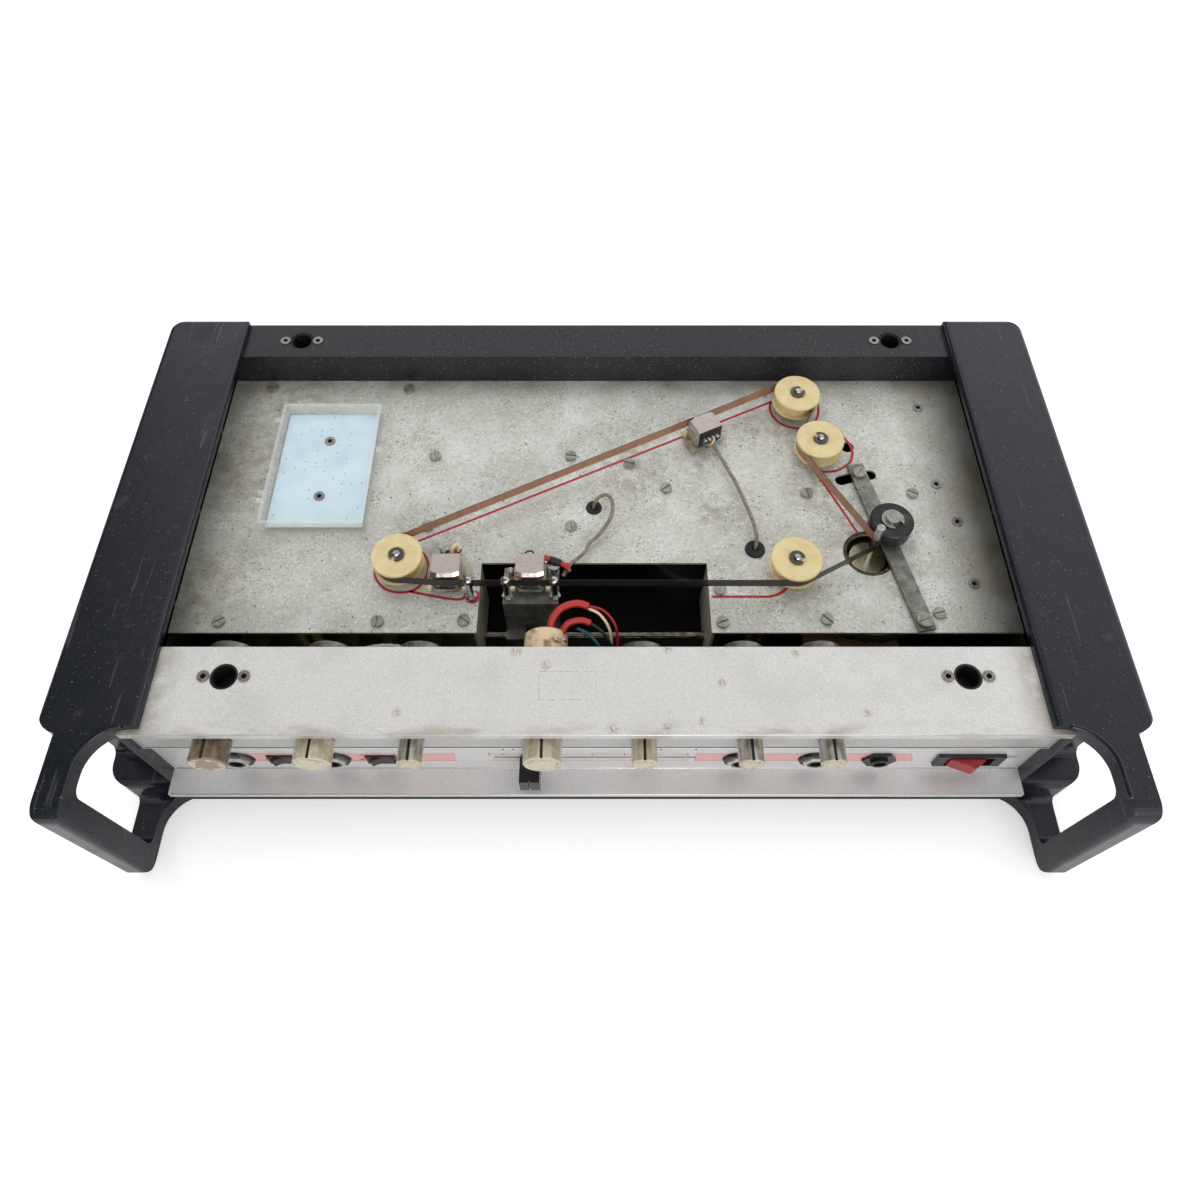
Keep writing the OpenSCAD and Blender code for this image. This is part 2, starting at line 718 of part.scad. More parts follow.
// Deck screws, and the shoulder screw with its washer that the pinch arm turns on
module deck_screws() {
    head_h = 1.9;
    below = 1.6;
    pivot = on_deck(arm_pivot);
    pivot_head_d = arm_pivot_d + 3.6;
    color([0.7, 0.69, 0.66]) {
        for (i = [0:len(screw_at) - 1])
            translate([screw_at[i][0], on_deck(screw_at[i])[1], deck_z]) {
                slotted_head(screw_head_d, head_h, 57 * i);
                translate([0, 0, -sheet_t - below]) cylinder(d = screw_d, h = sheet_t + below);
            }
        translate([pivot[0], pivot[1], deck_z]) {
            cylinder(d = pivot_head_d, h = arm_lift - gap);
            cylinder(d = arm_pivot_d, h = arm_lift + arm_t + gap);
            translate([0, 0, arm_lift + arm_t + gap]) slotted_head(pivot_head_d, head_h, 20);
        }
    }
}

// ---------------------------------------------------------------- spare-tape tray

card_t = 0.5;

module spare_tape_tray() {
    lug_d = 3.4;
    lug_l = 3;
    lugs = [[-1, 32], [-1, -22], [-1, -27.5], [1, 10]];
    c = on_deck(tray_at);
    color([0.9, 0.88, 0.8, 0.4])
    translate([c[0], c[1], deck_z]) difference() {
        union() {
            translate([-tray_w / 2, -tray_l / 2, 0]) cube([tray_w, tray_l, tray_h]);
            for (l = lugs) translate([l[0] * (tray_w / 2 + lug_l / 2), l[1], tray_h - lug_d / 2])
                rotate([0, 90, 0]) cylinder(d = lug_d, h = lug_l + over, center = true, $fn = 32);
        }
        translate([-tray_w / 2 + tray_t, -tray_l / 2 + tray_t, tray_t])
            cube([tray_w - 2 * tray_t, tray_l - 2 * tray_t, tray_h]);
        for (s = [-1, 1]) translate([0, s * tray_rivets / 2, -over])
            cylinder(d = rivet_body_d + 2 * fit, h = tray_t + 2 * over);
    }
}

module tray_card() {
    side = gap + 0.2;
    c = on_deck(tray_at);
    w = tray_w - 2 * tray_t - 2 * side;
    l = tray_l - 2 * tray_t - 2 * side;
    color([0.72, 0.82, 0.87])
    translate([c[0], c[1], deck_z + tray_t]) difference() {
        translate([-w / 2, -l / 2, 0]) cube([w, l, card_t]);
        for (s = [-1, 1]) translate([0, s * tray_rivets / 2, -over])
            cylinder(d = rivet_body_d + 2 * fit, h = card_t + 2 * over);
    }
}

// ---------------------------------------------------------------- tape path

pulley_h = groove_h + 2 * flange_t;
capstan_c = on_deck(capstan_at);
pinch_r = (capstan_d + roller_d) / 2 + 2 * gap + tape_t + 0.05;
pinch_c = capstan_c + pinch_r * [cos(pinch_angle), sin(pinch_angle)];
hub_r = hub_d / 2 + gap + tape_t / 2;

// The record head's face is part of a cylinder that the tape wraps. It stands so far
// forward that the tape runs from it to the fourth pulley beside the carriage's rod.
nose_r = 20;
record_nose = [record_x, on_deck(pulley_at[3])[1] - hub_r + nose_r + gap + tape_t / 2];

// A round that a band wraps: centre, signed radius of the band's middle line
// (positive where the band turns left as it travels)
tape_rounds = [
    [on_deck(pulley_at[2]), -hub_r],
    [on_deck(pulley_at[0]), -hub_r],
    [on_deck(pulley_at[1]), hub_r],
    [pinch_c, roller_d / 2 + gap + tape_t / 2],
    [capstan_c, -(capstan_d / 2 + gap + tape_t / 2)],
    [on_deck(pulley_at[3]), -hub_r],
    [record_nose, -(nose_r + gap + tape_t / 2)]];

function wrap(a) = a - 360 * floor(a / 360);
function left_of(a) = [-sin(a), cos(a)];
// Direction of the straight run from round a to round b
function run_angle(a, b) =
    let (d = b[0] - a[0])
    atan2(d[1], d[0]) - asin((b[1] - a[1]) / norm(d));
function leave_point(a, angle) = a[0] - a[1] * left_of(angle);
// Points of one round's wrap, the band moved sideways by side
function wrap_points(rounds, i, side) =
    let (n = len(rounds), c = rounds[i],
         a_in = run_angle(rounds[(i + n - 1) % n], c),
         a_out = run_angle(c, rounds[(i + 1) % n]),
         turn = c[1] > 0 ? wrap(a_out - a_in) : -wrap(a_in - a_out),
         steps = max(1, ceil(abs(turn) / 12)))
    [for (k = [0:steps]) c[0] - (c[1] - side) * left_of(a_in + turn * k / steps)];
function band_line(rounds, side) =
    [for (i = [0:len(rounds) - 1]) each wrap_points(rounds, i, side)];

module band(rounds, t, h) {
    linear_extrude(h) difference() {
        polygon(band_line(rounds, t / 2));
        polygon(band_line(rounds, -t / 2));
    }
}

module tape_loop() {
    color([0.36, 0.22, 0.17]) translate([0, 0, tape_z]) band(tape_rounds, tape_t, tape_w);
}

module tape_pulley(p) {
    bore_r = post_d / 2 + fit;
    c = on_deck(p);
    color([0.93, 0.84, 0.6])
    translate([c[0], c[1], pulley_z]) rotate_extrude() polygon([
        [bore_r, 0], [flange_d / 2 - 0.5, 0], [flange_d / 2, 0.5], [flange_d / 2, flange_t],
        [hub_d / 2, flange_t], [hub_d / 2, flange_t + groove_h],
        [flange_d / 2, flange_t + groove_h], [flange_d / 2, pulley_h - 0.5],
        [flange_d / 2 - 0.5, pulley_h], [bore_r + 3, pulley_h],
        [bore_r + 2.4, pulley_h - 0.4], [bore_r, pulley_h - 0.4]]);
}

module pulley_1() { tape_pulley(pulley_at[0]); }
module pulley_2() { tape_pulley(pulley_at[1]); }
module pulley_3() { tape_pulley(pulley_at[2]); }
module pulley_4() { tape_pulley(pulley_at[3]); }

clip_t = 0.8;
post_top = pulley_lift + pulley_h + clip_t + 1.4;

module pulley_posts() {
    shoulder_d = post_d + 4;
    color([0.6, 0.6, 0.58])
    for (p = pulley_at) translate([p[0], on_deck(p)[1], deck_z]) rotate_extrude()
        polygon([[0, 0], [shoulder_d / 2, 0], [shoulder_d / 2, pulley_lift - gap],
                 [post_d / 2, pulley_lift - gap], [post_d / 2, post_top - 0.6],
                 [post_d / 2 - 0.6, post_top], [0, post_top]]);
}

// Open spring clip round a pin of diameter d
module spring_clip(d, turn) {
    outer = d + 4.4;
    rotate([0, 0, turn]) difference() {
        cylinder(d = outer, h = clip_t);
        translate([0, 0, -over]) cylinder(d = d + 2 * fit, h = clip_t + 2 * over);
        translate([0, -d * 0.35, -over]) cube([outer, d * 0.7, clip_t + 2 * over]);
    }
}

module pulley_clips() {
    color([0.25, 0.25, 0.25])
    for (i = [0:3]) translate([pulley_at[i][0], on_deck(pulley_at[i])[1],
                               pulley_z + pulley_h + 0.1])
        spring_clip(post_d, 40 + 100 * i);
}

// ---------------------------------------------------------------- capstan drive

flywheel_z = deck_z - flywheel_drop - flywheel_t;
bearing_top_z = flywheel_z - 2;
shaft_foot_z = floor_z + 8;

module capstan_shaft() {
    color([0.7, 0.7, 0.7])
    translate([capstan_c[0], capstan_c[1], shaft_foot_z])
        cylinder(d = capstan_d, h = deck_z + capstan_h - shaft_foot_z);
}

module flywheel() {
    boss_top = flywheel_t + flywheel_drop - 5;
    bore_r = capstan_d / 2 + fit;
    r = flywheel_d / 2;
    color([0.75, 0.66, 0.35])
    translate([capstan_c[0], capstan_c[1], flywheel_z]) rotate_extrude($fn = 96) polygon([
        [bore_r, 0], [r - 0.6, 0], [r, 0.6], [r, flywheel_t - 0.6], [r - 0.6, flywheel_t],
        [r - 10, flywheel_t], [r - 12, flywheel_t - 4], [boss_d / 2, flywheel_t - 4],
        [boss_d / 2, boss_top - 0.8], [boss_d / 2 - 0.8, boss_top], [bore_r, boss_top]]);
}

module capstan_bearing() {
    base_r = 20;
    base_t = 3;
    body_r = 9;
    bore_r = capstan_d / 2 + fit;
    h = bearing_top_z - floor_z;
    step = shaft_foot_z - floor_z - gap;
    color([0.5, 0.5, 0.52])
    translate([capstan_c[0], capstan_c[1], floor_z]) rotate_extrude() polygon([
        [0, 0], [base_r, 0], [base_r, base_t], [body_r, base_t + 2], [body_r, h],
        [bore_r, h], [bore_r, step], [0, step]]);
}

motor_c = on_deck(motor_at);
motor_shaft_d = 4;

module drive_motor() {
    bottom_r = 2;
    r = motor_d / 2;
    shaft_top = flywheel_z + flywheel_t - floor_z - 1;
    color([0.4, 0.4, 0.42])
    translate([motor_c[0], motor_c[1], floor_z]) rotate_extrude() polygon([
        [0, 0], [r - bottom_r, 0], [r, bottom_r], [r, motor_h - bottom_r],
        [r - bottom_r, motor_h], [9, motor_h], [9, motor_h + 3],
        [motor_shaft_d / 2, motor_h + 3], [motor_shaft_d / 2, shaft_top], [0, shaft_top]]);
}

belt_t = 1.2;
belt_w = 5;
belt_r = motor_pulley_d / 2 + gap + belt_t / 2;
belt_rounds = [
    [capstan_c, -flywheel_d / 2 - gap - belt_t / 2],
    [motor_c, -belt_r]];

module motor_pulley() {
    r = motor_pulley_d / 2;
    bore_r = motor_shaft_d / 2 + fit;
    h = flywheel_t;
    color([0.75, 0.66, 0.35])
    translate([motor_c[0], motor_c[1], flywheel_z]) rotate_extrude() polygon([
        [bore_r, 0], [r + 2, 0], [r + 2, 1.5], [r, 2.5], [r, h - 2.5], [r + 2, h - 1.5],
        [r + 2, h], [bore_r, h]]);
}

module drive_belt() {
    color([0.05, 0.05, 0.05])
    translate([0, 0, flywheel_z + (flywheel_t - belt_w) / 2]) band(belt_rounds, belt_t, belt_w);
}

// ---------------------------------------------------------------- pinch arm

pivot_c = on_deck(arm_pivot);
arm_pivot_d = 5;
arm_angle = atan2(pinch_c[1] - pivot_c[1], pinch_c[0] - pivot_c[0]);
pinch_on_arm = norm(pinch_c - pivot_c);
arm_top_z = deck_z + arm_lift + arm_t;
roller_z = tape_mid_z - roller_h / 2 + 0.8;

// Draws along the arm: origin at the pivot on the deck, X towards the end pin
module on_arm() { translate([pivot_c[0], pivot_c[1], deck_z]) rotate([0, 0, arm_angle]) children(); }

module pinch_arm() {
    front_end = 5.2;
    rear_end = 7;
    color([0.5, 0.49, 0.47])
    on_arm() difference() {
        translate([-front_end, -arm_w / 2, arm_lift])
            cube([front_end + arm_pin_r + rear_end, arm_w, arm_t]);
        cylinder(d = arm_pivot_d + 2 * fit, h = arm_lift + arm_t + over);
        for (x = [pinch_on_arm, arm_pin_r]) translate([x, 0, 0])
            cylinder(d = arm_rivet_d + 2 * fit, h = arm_lift + arm_t + over);
    }
}

arm_rivet_d = 4;

// Roller pin with its collar and clip, and the end pin that hangs in the slot
module arm_pins() {
    head_h = 1.9;
    collar_h = roller_z - arm_top_z - gap;
    pin_top = roller_z + roller_h - deck_z + clip_t + 2.4;
    clip_z = roller_z + roller_h - deck_z + gap;
    under = arm_lift;
    end_drop = 8;
    color([0.62, 0.6, 0.57]) on_arm() {
        translate([pinch_on_arm, 0, 0]) {
            translate([0, 0, arm_lift]) cylinder(d = arm_rivet_d, h = arm_t);
            translate([0, 0, arm_lift + arm_t]) cylinder(d = roller_pin_d + 3, h = collar_h);
            translate([0, 0, arm_lift + arm_t])
                cylinder(d = roller_pin_d, h = pin_top - arm_lift - arm_t);
            translate([0, 0, clip_z]) spring_clip(roller_pin_d, 200);
        }
        translate([arm_pin_r, 0, 0]) {
            translate([0, 0, -sheet_t - end_drop]) cylinder(d = arm_pin_d, h = sheet_t + end_drop + under);
            translate([0, 0, arm_lift]) cylinder(d = arm_rivet_d, h = arm_t);
            translate([0, 0, arm_lift + arm_t]) slotted_head(screw_head_d + 0.6, head_h, -50);
        }
    }
}

module pinch_roller() {
    r = roller_d / 2;
    bore_r = roller_pin_d / 2 + fit;
    edge = 0.8;
    color([0.06, 0.06, 0.065])
    translate([pinch_c[0], pinch_c[1], roller_z]) rotate_extrude() polygon([
        [bore_r, 0], [r - edge, 0], [r, edge], [r, roller_h - edge], [r - edge, roller_h],
        [bore_r, roller_h]]);
}

// ---------------------------------------------------------------- heads

front_run = run_angle(tape_rounds[5], tape_rounds[6]);
front_start = leave_point(tape_rounds[5], front_run);
rear_run = run_angle(tape_rounds[0], tape_rounds[1]);
rear_start = leave_point(tape_rounds[0], rear_run);
// Distance along the front run to the place x
function front_s(x) = (x - front_start[0]) / cos(front_run);

// Draws at the record head: the face touches the wrapped tape, but for the gap
module at_record() {
    translate([record_nose[0], record_nose[1] - nose_r, 0]) rotate([0, 0, 180]) children();
}

// Draws beside the tape: X along its travel, Y outwards from the loop, and the head's
// own face on the X axis, clear of the tape
module beside_tape(start, angle, s) {
    p = start + s * [cos(angle), sin(angle)] - (tape_t / 2 + gap) * left_of(angle);
    translate([p[0], p[1], 0]) rotate([0, 0, angle]) children();
}

head_z = tape_mid_z - head_h / 2;
bracket_t = 1.2;

// Metal can of a head: a flat-sided box with a rounded face towards the tape
module tape_head() {
    translate([0, 0, head_z]) linear_extrude(head_h) intersection() {
        translate([-head_w / 2, -head_d]) square([head_w, head_d]);
        translate([0, -nose_r]) circle(r = nose_r, $fn = 96);
    }
}

// Base plate of a head on two collars, and the head's block on it
module head_bracket(wings = 4) {
    plate_w = head_w + 2 * wings;
    plate_d = head_d - 3;
    collar_d = 4.6;
    lift = 2.6;
    translate([-plate_w / 2, -head_d, deck_z + lift]) cube([plate_w, plate_d, bracket_t]);
    translate([-head_w / 2 + 2, -head_d + 1, deck_z + lift])
        cube([head_w - 4, head_d - 4, head_z - deck_z - lift]);
    for (s = [-1, 1]) translate([s * (plate_w / 2 - collar_d / 2), -head_d + plate_d / 2, deck_z]) {
        cylinder(d = collar_d, h = lift);
        if (wings > collar_d / 2) translate([0, 0, lift]) cylinder(d = 2.2, h = bracket_t + 1.6);
    }
}

module record_head() {
    color([0.75, 0.73, 0.71]) at_record() tape_head();
}

module erase_head() {
    color([0.75, 0.73, 0.71]) beside_tape(rear_start, rear_run, erase_s) tape_head();
}

module head_brackets() {
    color([0.72, 0.66, 0.45]) {
        at_record() head_bracket();
        beside_tape(rear_start, rear_run, erase_s) head_bracket();
    }
}

module playback_head() {
    color([0.75, 0.73, 0.71]) beside_tape(front_start, front_run, front_s(carriage_x)) tape_head();
}

rod_z = deck_z - rod_drop;

module carriage_rod() {
    end = 2;
    color([0.75, 0.75, 0.75])
    translate([notch_x - notch_w / 2 - sheet_t - end, deck_y + rod_y, rod_z]) rotate([0, 90, 0])
        cylinder(d = rod_d, h = notch_w + 2 * (sheet_t + end));
}

// Bent plate with the playback head's bracket on top and a bearing block on the rod
module head_carriage() {
    y0 = deck_y + carriage_y;
    color([0.6, 0.6, 0.57]) {
        difference() {
            union() {
                translate([carriage_x - carriage_w / 2, y0, deck_z - sheet_t])
                    cube([carriage_w, carriage_d, sheet_t]);
                translate([carriage_x - carriage_w / 2, y0, rod_z])
                    cube([carriage_w, sheet_t, deck_z - rod_z]);
                translate([carriage_x - carriage_w / 2, deck_y + rod_y - block_s / 2, rod_z - block_s / 2])
                    cube([carriage_w, block_s, block_s]);
            }
            translate([carriage_x - carriage_w, deck_y + rod_y, rod_z]) rotate([0, 90, 0])
                cylinder(d = rod_d + 2 * fit, h = 2 * carriage_w);
        }
        beside_tape(front_start, front_run, front_s(carriage_x)) head_bracket(1.8);
    }
}

blade_t = 1.6;
blade_z = rod_z + block_s / 2;

// Black lever in front of the panel on a blade from the carriage
module slider_lever() {
    groove = 1;
    tip_gap = 1.2;
    color([0.06, 0.06, 0.06]) {
        translate([carriage_x - blade_w / 2, panel_y - tip_gap - over, blade_z])
            cube([blade_w, deck_y + carriage_y - panel_y + tip_gap + over, blade_t]);
        difference() {
            translate([carriage_x + lever_dx - lever_w / 2, panel_y - tip_gap - lever_l,
                       blade_z + blade_t / 2 - lever_h * 0.62])
                cube([lever_w, lever_l, lever_h]);
            translate([carriage_x + lever_dx - groove / 2, panel_y - tip_gap - lever_l - over,
                       blade_z - lever_h])
                cube([groove, groove + over, 2 * lever_h]);
        }
    }
}

// Post with a ball head that keeps the tape on a head
module guide_post() {
    nut_d = guide_d + 3;
    nut_h = 2;
    ball_z = tape_z + tape_w + ball_d / 2 + gap - deck_z;
    cylinder(d = nut_d, h = nut_h, $fn = 6);
    cylinder(d = guide_d, h = ball_z);
    translate([0, 0, ball_z]) sphere(d = ball_d, $fn = 32);
}

// A post stands in front of the tape by this much; its ball is over the tape
post_clear = guide_d / 2 + tape_t / 2 + 0.35;
function front_run_y(x) = front_start[1] + (x - front_start[0]) * tan(front_run);

module guide_posts() {
    color([0.7, 0.7, 0.7])
    translate([guide_x, front_run_y(guide_x) - post_clear, deck_z]) guide_post();
}

// The carriage's two guide posts and its clamp screw
module carriage_posts() {
    clamp_d = 7.6;
    clamp_h = 7;
    clamp_x = carriage_w / 2 - 2.8;
    clamp_y = carriage_y + carriage_d - 2.6;
    color([0.7, 0.7, 0.7]) {
        for (dx = guide_dx)
            translate([carriage_x + dx, front_run_y(carriage_x + dx) - post_clear, deck_z])
                guide_post();
        translate([carriage_x + clamp_x, deck_y + clamp_y, deck_z]) {
            cylinder(d = 4, h = clamp_h);
            translate([0, 0, clamp_h]) slotted_head(clamp_d, 1.6, 30);
        }
    }
}

// ---------------------------------------------------------------- leads

lead_d = 2.2;
// Routes of the leads: X, distance behind the deck's front edge, height above the deck
erase_route = [[68.6, 123.2, 9.5], [70.4, 119.8, 8.6], [72.9, 116, 6], [75.6, 111, 4.9],
    [79, 102, 5.2], [81.5, 95, 6], [85, 82, 7], [88.3, 69, 7.5], [90, 60, 7], [90.4, 55.4, 5],
    [90, 52.8, 1.5], [89.8, 52.3, -4]];
record_route = [[-81, 40.2, 9.6], [-80.7, 43.4, 10.2], [-80, 46.6, 9], [-79.2, 49.6, 6],
    [-79, 50.8, 3], [-79, 50.8, 0.25]];
playback_route = [[-1.2, 80.7, -4], [-1.2, 80.9, 2], [1, 83, 6.5], [6, 84.5, 8], [9.4, 79.5, 7.6],
                  [8.4, 70, 6.4], [2.5, 60.5, 4.6], [-3.6, 54, 4], [-5.6, 49, 4.4],
                  [-9, 44.6, 4.8], [-13.5, 40.6, 4.6], [-16.4, 36.4, 3.6], [-18.2, 33, 2.6]];

function unit(v) = v / norm(v);
function spline_point(p, i, t) =
    let (n = len(p) - 1, a = p[max(i - 1, 0)], b = p[i], c = p[min(i + 1, n)],
         d = p[min(i + 2, n)])
    0.5 * (2 * b + (c - a) * t + (2 * a - 5 * b + 4 * c - d) * t * t
        + (3 * b - a - 3 * c + d) * t * t * t);
function smooth(p, k) = concat(
    [for (i = [0:len(p) - 2], j = [0:k - 1]) spline_point(p, i, j / k)], [p[len(p) - 1]]);
// Side direction of each ring, carried along the route so that the tube never twists
function carried(dirs, i, s) = i == len(dirs) ? []
    : let (v = unit(s - (s * dirs[i]) * dirs[i])) concat([v], carried(dirs, i + 1, v));

module tube(route, d, sides = 8, k = 2) {
    line = smooth([for (p = route) [p[0], on_deck(p)[1], deck_z + p[2]]], k);
    n = len(line);
    dirs = [for (i = [0:n - 1]) unit(line[min(i + 1, n - 1)] - line[max(i - 1, 0)])];
    start = abs(dirs[0][2]) > 0.9 ? [1, 0, 0] : [0, 0, 1];
    ups = carried(dirs, 0, start);
    rings = [for (i = [0:n - 1], j = [0:sides - 1])
        line[i] + d / 2 * (cos(360 * j / sides) * ups[i]
            + sin(360 * j / sides) * cross(dirs[i], ups[i]))];
    walls = [for (i = [0:n - 2], j = [0:sides - 1]) let (m = (j + 1) % sides, a = i * sides)
        each [[a + j, a + sides + m, a + m], [a + j, a + sides + j, a + sides + m]]];
    first = [for (j = [1:sides - 2]) [0, j, j + 1]];
    last = [for (j = [1:sides - 2]) [(n - 1) * sides, (n - 1) * sides + j + 1, (n - 1) * sides + j]];
    polyhedron(rings, concat(walls, first, last));
}

module head_leads() {
    color([0.42, 0.38, 0.33]) {
        tube(erase_route, lead_d);
        tube(record_route, lead_d);
    }
}

module playback_lead() { color([0.42, 0.38, 0.33]) tube(playback_route, lead_d); }

// Rubber grommets: flanges over and under the deck, a bore for the lead
module grommets() {
    lip_h = 1.4;
    color([0.04, 0.04, 0.04])
    for (g = grommet_at) translate([g[0], on_deck(g)[1], deck_z]) rotate_extrude() polygon([
        [lead_d / 2 + 0.6, -sheet_t - lip_h], [g[2] / 2, -sheet_t - lip_h],
        [g[2] / 2, -sheet_t], [g[2] / 2 - grommet_lip - fit, -sheet_t],
        [g[2] / 2 - grommet_lip - fit, 0], [g[2] / 2, 0], [g[2] / 2 - 0.5, lip_h],
        [lead_d / 2 + 1, lip_h], [lead_d / 2 + 0.6, lip_h - 0.4]]);
}

// ---------------------------------------------------------------- knobs and pots

// Knobs: X, diameter
knobs = concat([for (x = big_knob_x) [x, knob_big_d]], [for (x = small_knob_x) [x, knob_small_d]]);
pot_y = panel_y + pot_bar_y;

// Knob with its spindle, which runs back into the potentiometer
module knob(k) {
    edge = 0.6;
    r = k[1] / 2;
    back = band_y - knob_gap;
    front = back - knob_l;
    reach = pot_y - back - 2;
    socket = 8;
    translate([k[0], front, knob_z]) {
        color([0.82, 0.78, 0.6]) from_front() rotate_extrude() polygon([
            [0, 0], [r - edge, 0], [r, edge], [r, knob_l], [spindle_d / 2 + fit, knob_l],
            [spindle_d / 2 + fit, knob_l - socket], [0, knob_l - socket]]);
        color([0.7, 0.62, 0.4]) translate([0, knob_l - socket + gap, 0]) from_front()
            cylinder(d = spindle_d, h = reach + socket);
    }
}

module knob_1() { knob(knobs[0]); }
module knob_2() { knob(knobs[1]); }
module knob_3() { knob(knobs[3]); }
module knob_4() { knob(knobs[2]); }
module knob_5() { knob(knobs[4]); }
module knob_6() { knob(knobs[5]); }
module knob_7() { knob(knobs[6]); }

// Seven potentiometers on a bar that spans the chassis behind the panel
module pots() {
    bar_low = knob_z - pot_d / 2 - 1;
    bar_high = rail_z - sheet_t - 1.4;
    bush_d = spindle_d + 3;
    bush_l = 8;
    switch_x = big_knob_x[2];
    color([0.66, 0.66, 0.66]) {
        difference() {
            translate([-half_w + sheet_t, pot_y, bar_low])
                cube([chassis_w - 2 * sheet_t, sheet_t, bar_high - bar_low]);
            for (k = knobs) translate([k[0], pot_y - over, knob_z]) from_front()
                cylinder(d = bush_d + 2 * fit, h = sheet_t + 2 * over);
        }
        for (k = knobs) translate([k[0], pot_y - bush_l, knob_z]) from_front()
            rotate_extrude() polygon(k[0] == switch_x
                ? pot_outline(bush_d, bush_l, pot_l + pot_switch_l)
                : pot_outline(bush_d, bush_l, pot_l));
    }
}

// Half outline of a potentiometer, from the open end of its bush
function pot_outline(bush_d, bush_l, length) =
    let (b = spindle_d / 2 + fit, face = bush_l + sheet_t, r = pot_d / 2)
    [[b, 0], [bush_d / 2, 0], [bush_d / 2, face], [r - 0.8, face], [r, face + 0.8],
     [r, face + length - 0.8], [r - 0.8, face + length], [0, face + length],
     [0, bush_l], [b, bush_l]];

// ---------------------------------------------------------------- sockets and switches

// Jack sockets: a body behind the panel, a threaded barrel through it and a ring in front.
// The footswitch socket has a black hexagon nut in place of the ring.
module jack_sockets() {
    body_w = 15;
    body_h = 19;
    front = panel_y - jack_ring_t - jack_nut_t;
    hex_d = 18.4;
    color([0.05, 0.05, 0.05])
    for (x = concat(jack_x, [foot_jack_x])) {
        translate([x, 0, jack_z]) difference() {
            union() {
                translate([0, front, 0]) from_front()
                    cylinder(d = jack_thread, h = panel_y + panel_t - front + over);
                translate([-body_w / 2, panel_y + panel_t, -body_h / 2])
                    cube([body_w, front + jack_depth + 2 - panel_y - panel_t, body_h]);
            }
            translate([0, front - over, 0]) from_front()
                cylinder(d = jack_bore, h = jack_depth + over);
        }
        translate([x, front + jack_nut_t, jack_z]) from_front() difference() {
            if (x == foot_jack_x) cylinder(d = hex_d, h = jack_ring_t, $fn = 6);
            else cylinder(d1 = jack_ring_d - 1.6, d2 = jack_ring_d, h = jack_ring_t);
            translate([0, 0, -over]) cylinder(d = jack_thread + 2 * fit, h = jack_ring_t + 2 * over);
        }
    }
}

module jack_nuts() {
    hex_d = 13.6;
    color([0.8, 0.8, 0.8])
    for (x = jack_x) translate([x, panel_y - jack_ring_t - jack_nut_t, jack_z]) from_front() difference() {
        cylinder(d = hex_d, h = jack_nut_t - fit, $fn = 6);
        translate([0, 0, -over]) cylinder(d = jack_thread + 2 * fit, h = jack_nut_t + 2 * over);
    }
}

// Rocker switches: X, rocker width, rocker height, body width, body height, bezel width,
// bezel height, bezel thickness
rocker_room = 0.9;
body_wall = 0.7;
switches = [for (i = [0:2])
    let (x = i < 2 ? echo_x[i] : mains_x, w = i < 2 ? echo_w : mains_w,
         h = i < 2 ? echo_h : mains_h)
    [x, w, h, w + 2 * (rocker_room + body_wall), h + 2 * (0.4 + body_wall),
     i < 2 ? w + 4.4 : w + 12.4, h + (i < 2 ? 3 : 4.3), i < 2 ? 1.2 : 2]];
rocker_axis_y = panel_y + 2.5;

module switch_frames() {
    body_d = 16;
    well_d = 9;
    color([0.07, 0.07, 0.07])
    for (s = switches) translate([s[0], panel_y, jack_z]) difference() {
        union() {
            translate([-s[5] / 2, -s[7], -s[6] / 2]) cube([s[5], s[7], s[6]]);
            translate([-s[3] / 2, -over / 2, -s[4] / 2]) cube([s[3], body_d, s[4]]);
        }
        translate([-s[1] / 2 - rocker_room, -s[7] - over, -s[2] / 2 - 0.4])
            cube([s[1] + 2 * rocker_room, well_d + s[7] + over, s[2] + 0.8]);
    }
}

// Rocker: turns on an upright axis just behind the panel. Its outline is given towards
// the front as [X, distance in front of the axis].
module rocker(s, outline) {
    translate([s[0], rocker_axis_y, jack_z - s[2] / 2]) rotate([0, 0, rocker_tilt])
        linear_extrude(s[2]) polygon([for (p = outline) [p[0], -p[1]]]);
}

module echo_rocker(s) {
    w = s[1] / 2;
    edge = 5;
    dip = 1.2;
    color([0.05, 0.05, 0.05])
    rocker(s, concat([[-w, -1], [-w, edge]],
        [for (i = [1:7]) [w * (i / 4 - 1), edge - dip * (1 - pow(i / 4 - 1, 2))]],
        [[w, edge], [w, -1], [0, -2.5]]));
}

module echo_rocker_1() { echo_rocker(switches[0]); }
module echo_rocker_2() { echo_rocker(switches[1]); }

module mains_rocker() {
    w = switches[2][1] / 2;
    ridge = 9.4;
    end = 3.4;
    color([0.75, 0.1, 0.1])
    rocker(switches[2], [[-w, -1], [-w, end], [-0.8, ridge], [0.8, ridge], [w, end], [w, -1],
                         [0, -3]]);
}

// ---------------------------------------------------------------- inside and rear

board_x0 = -half_w + 16;
board_w = 142;
board_d = 158;
board_y = panel_y + 10;
board_z = floor_z + 18;
board_t = 1.6;
tag_board = [half_w - 111, deck_y - 16, 54, 44];

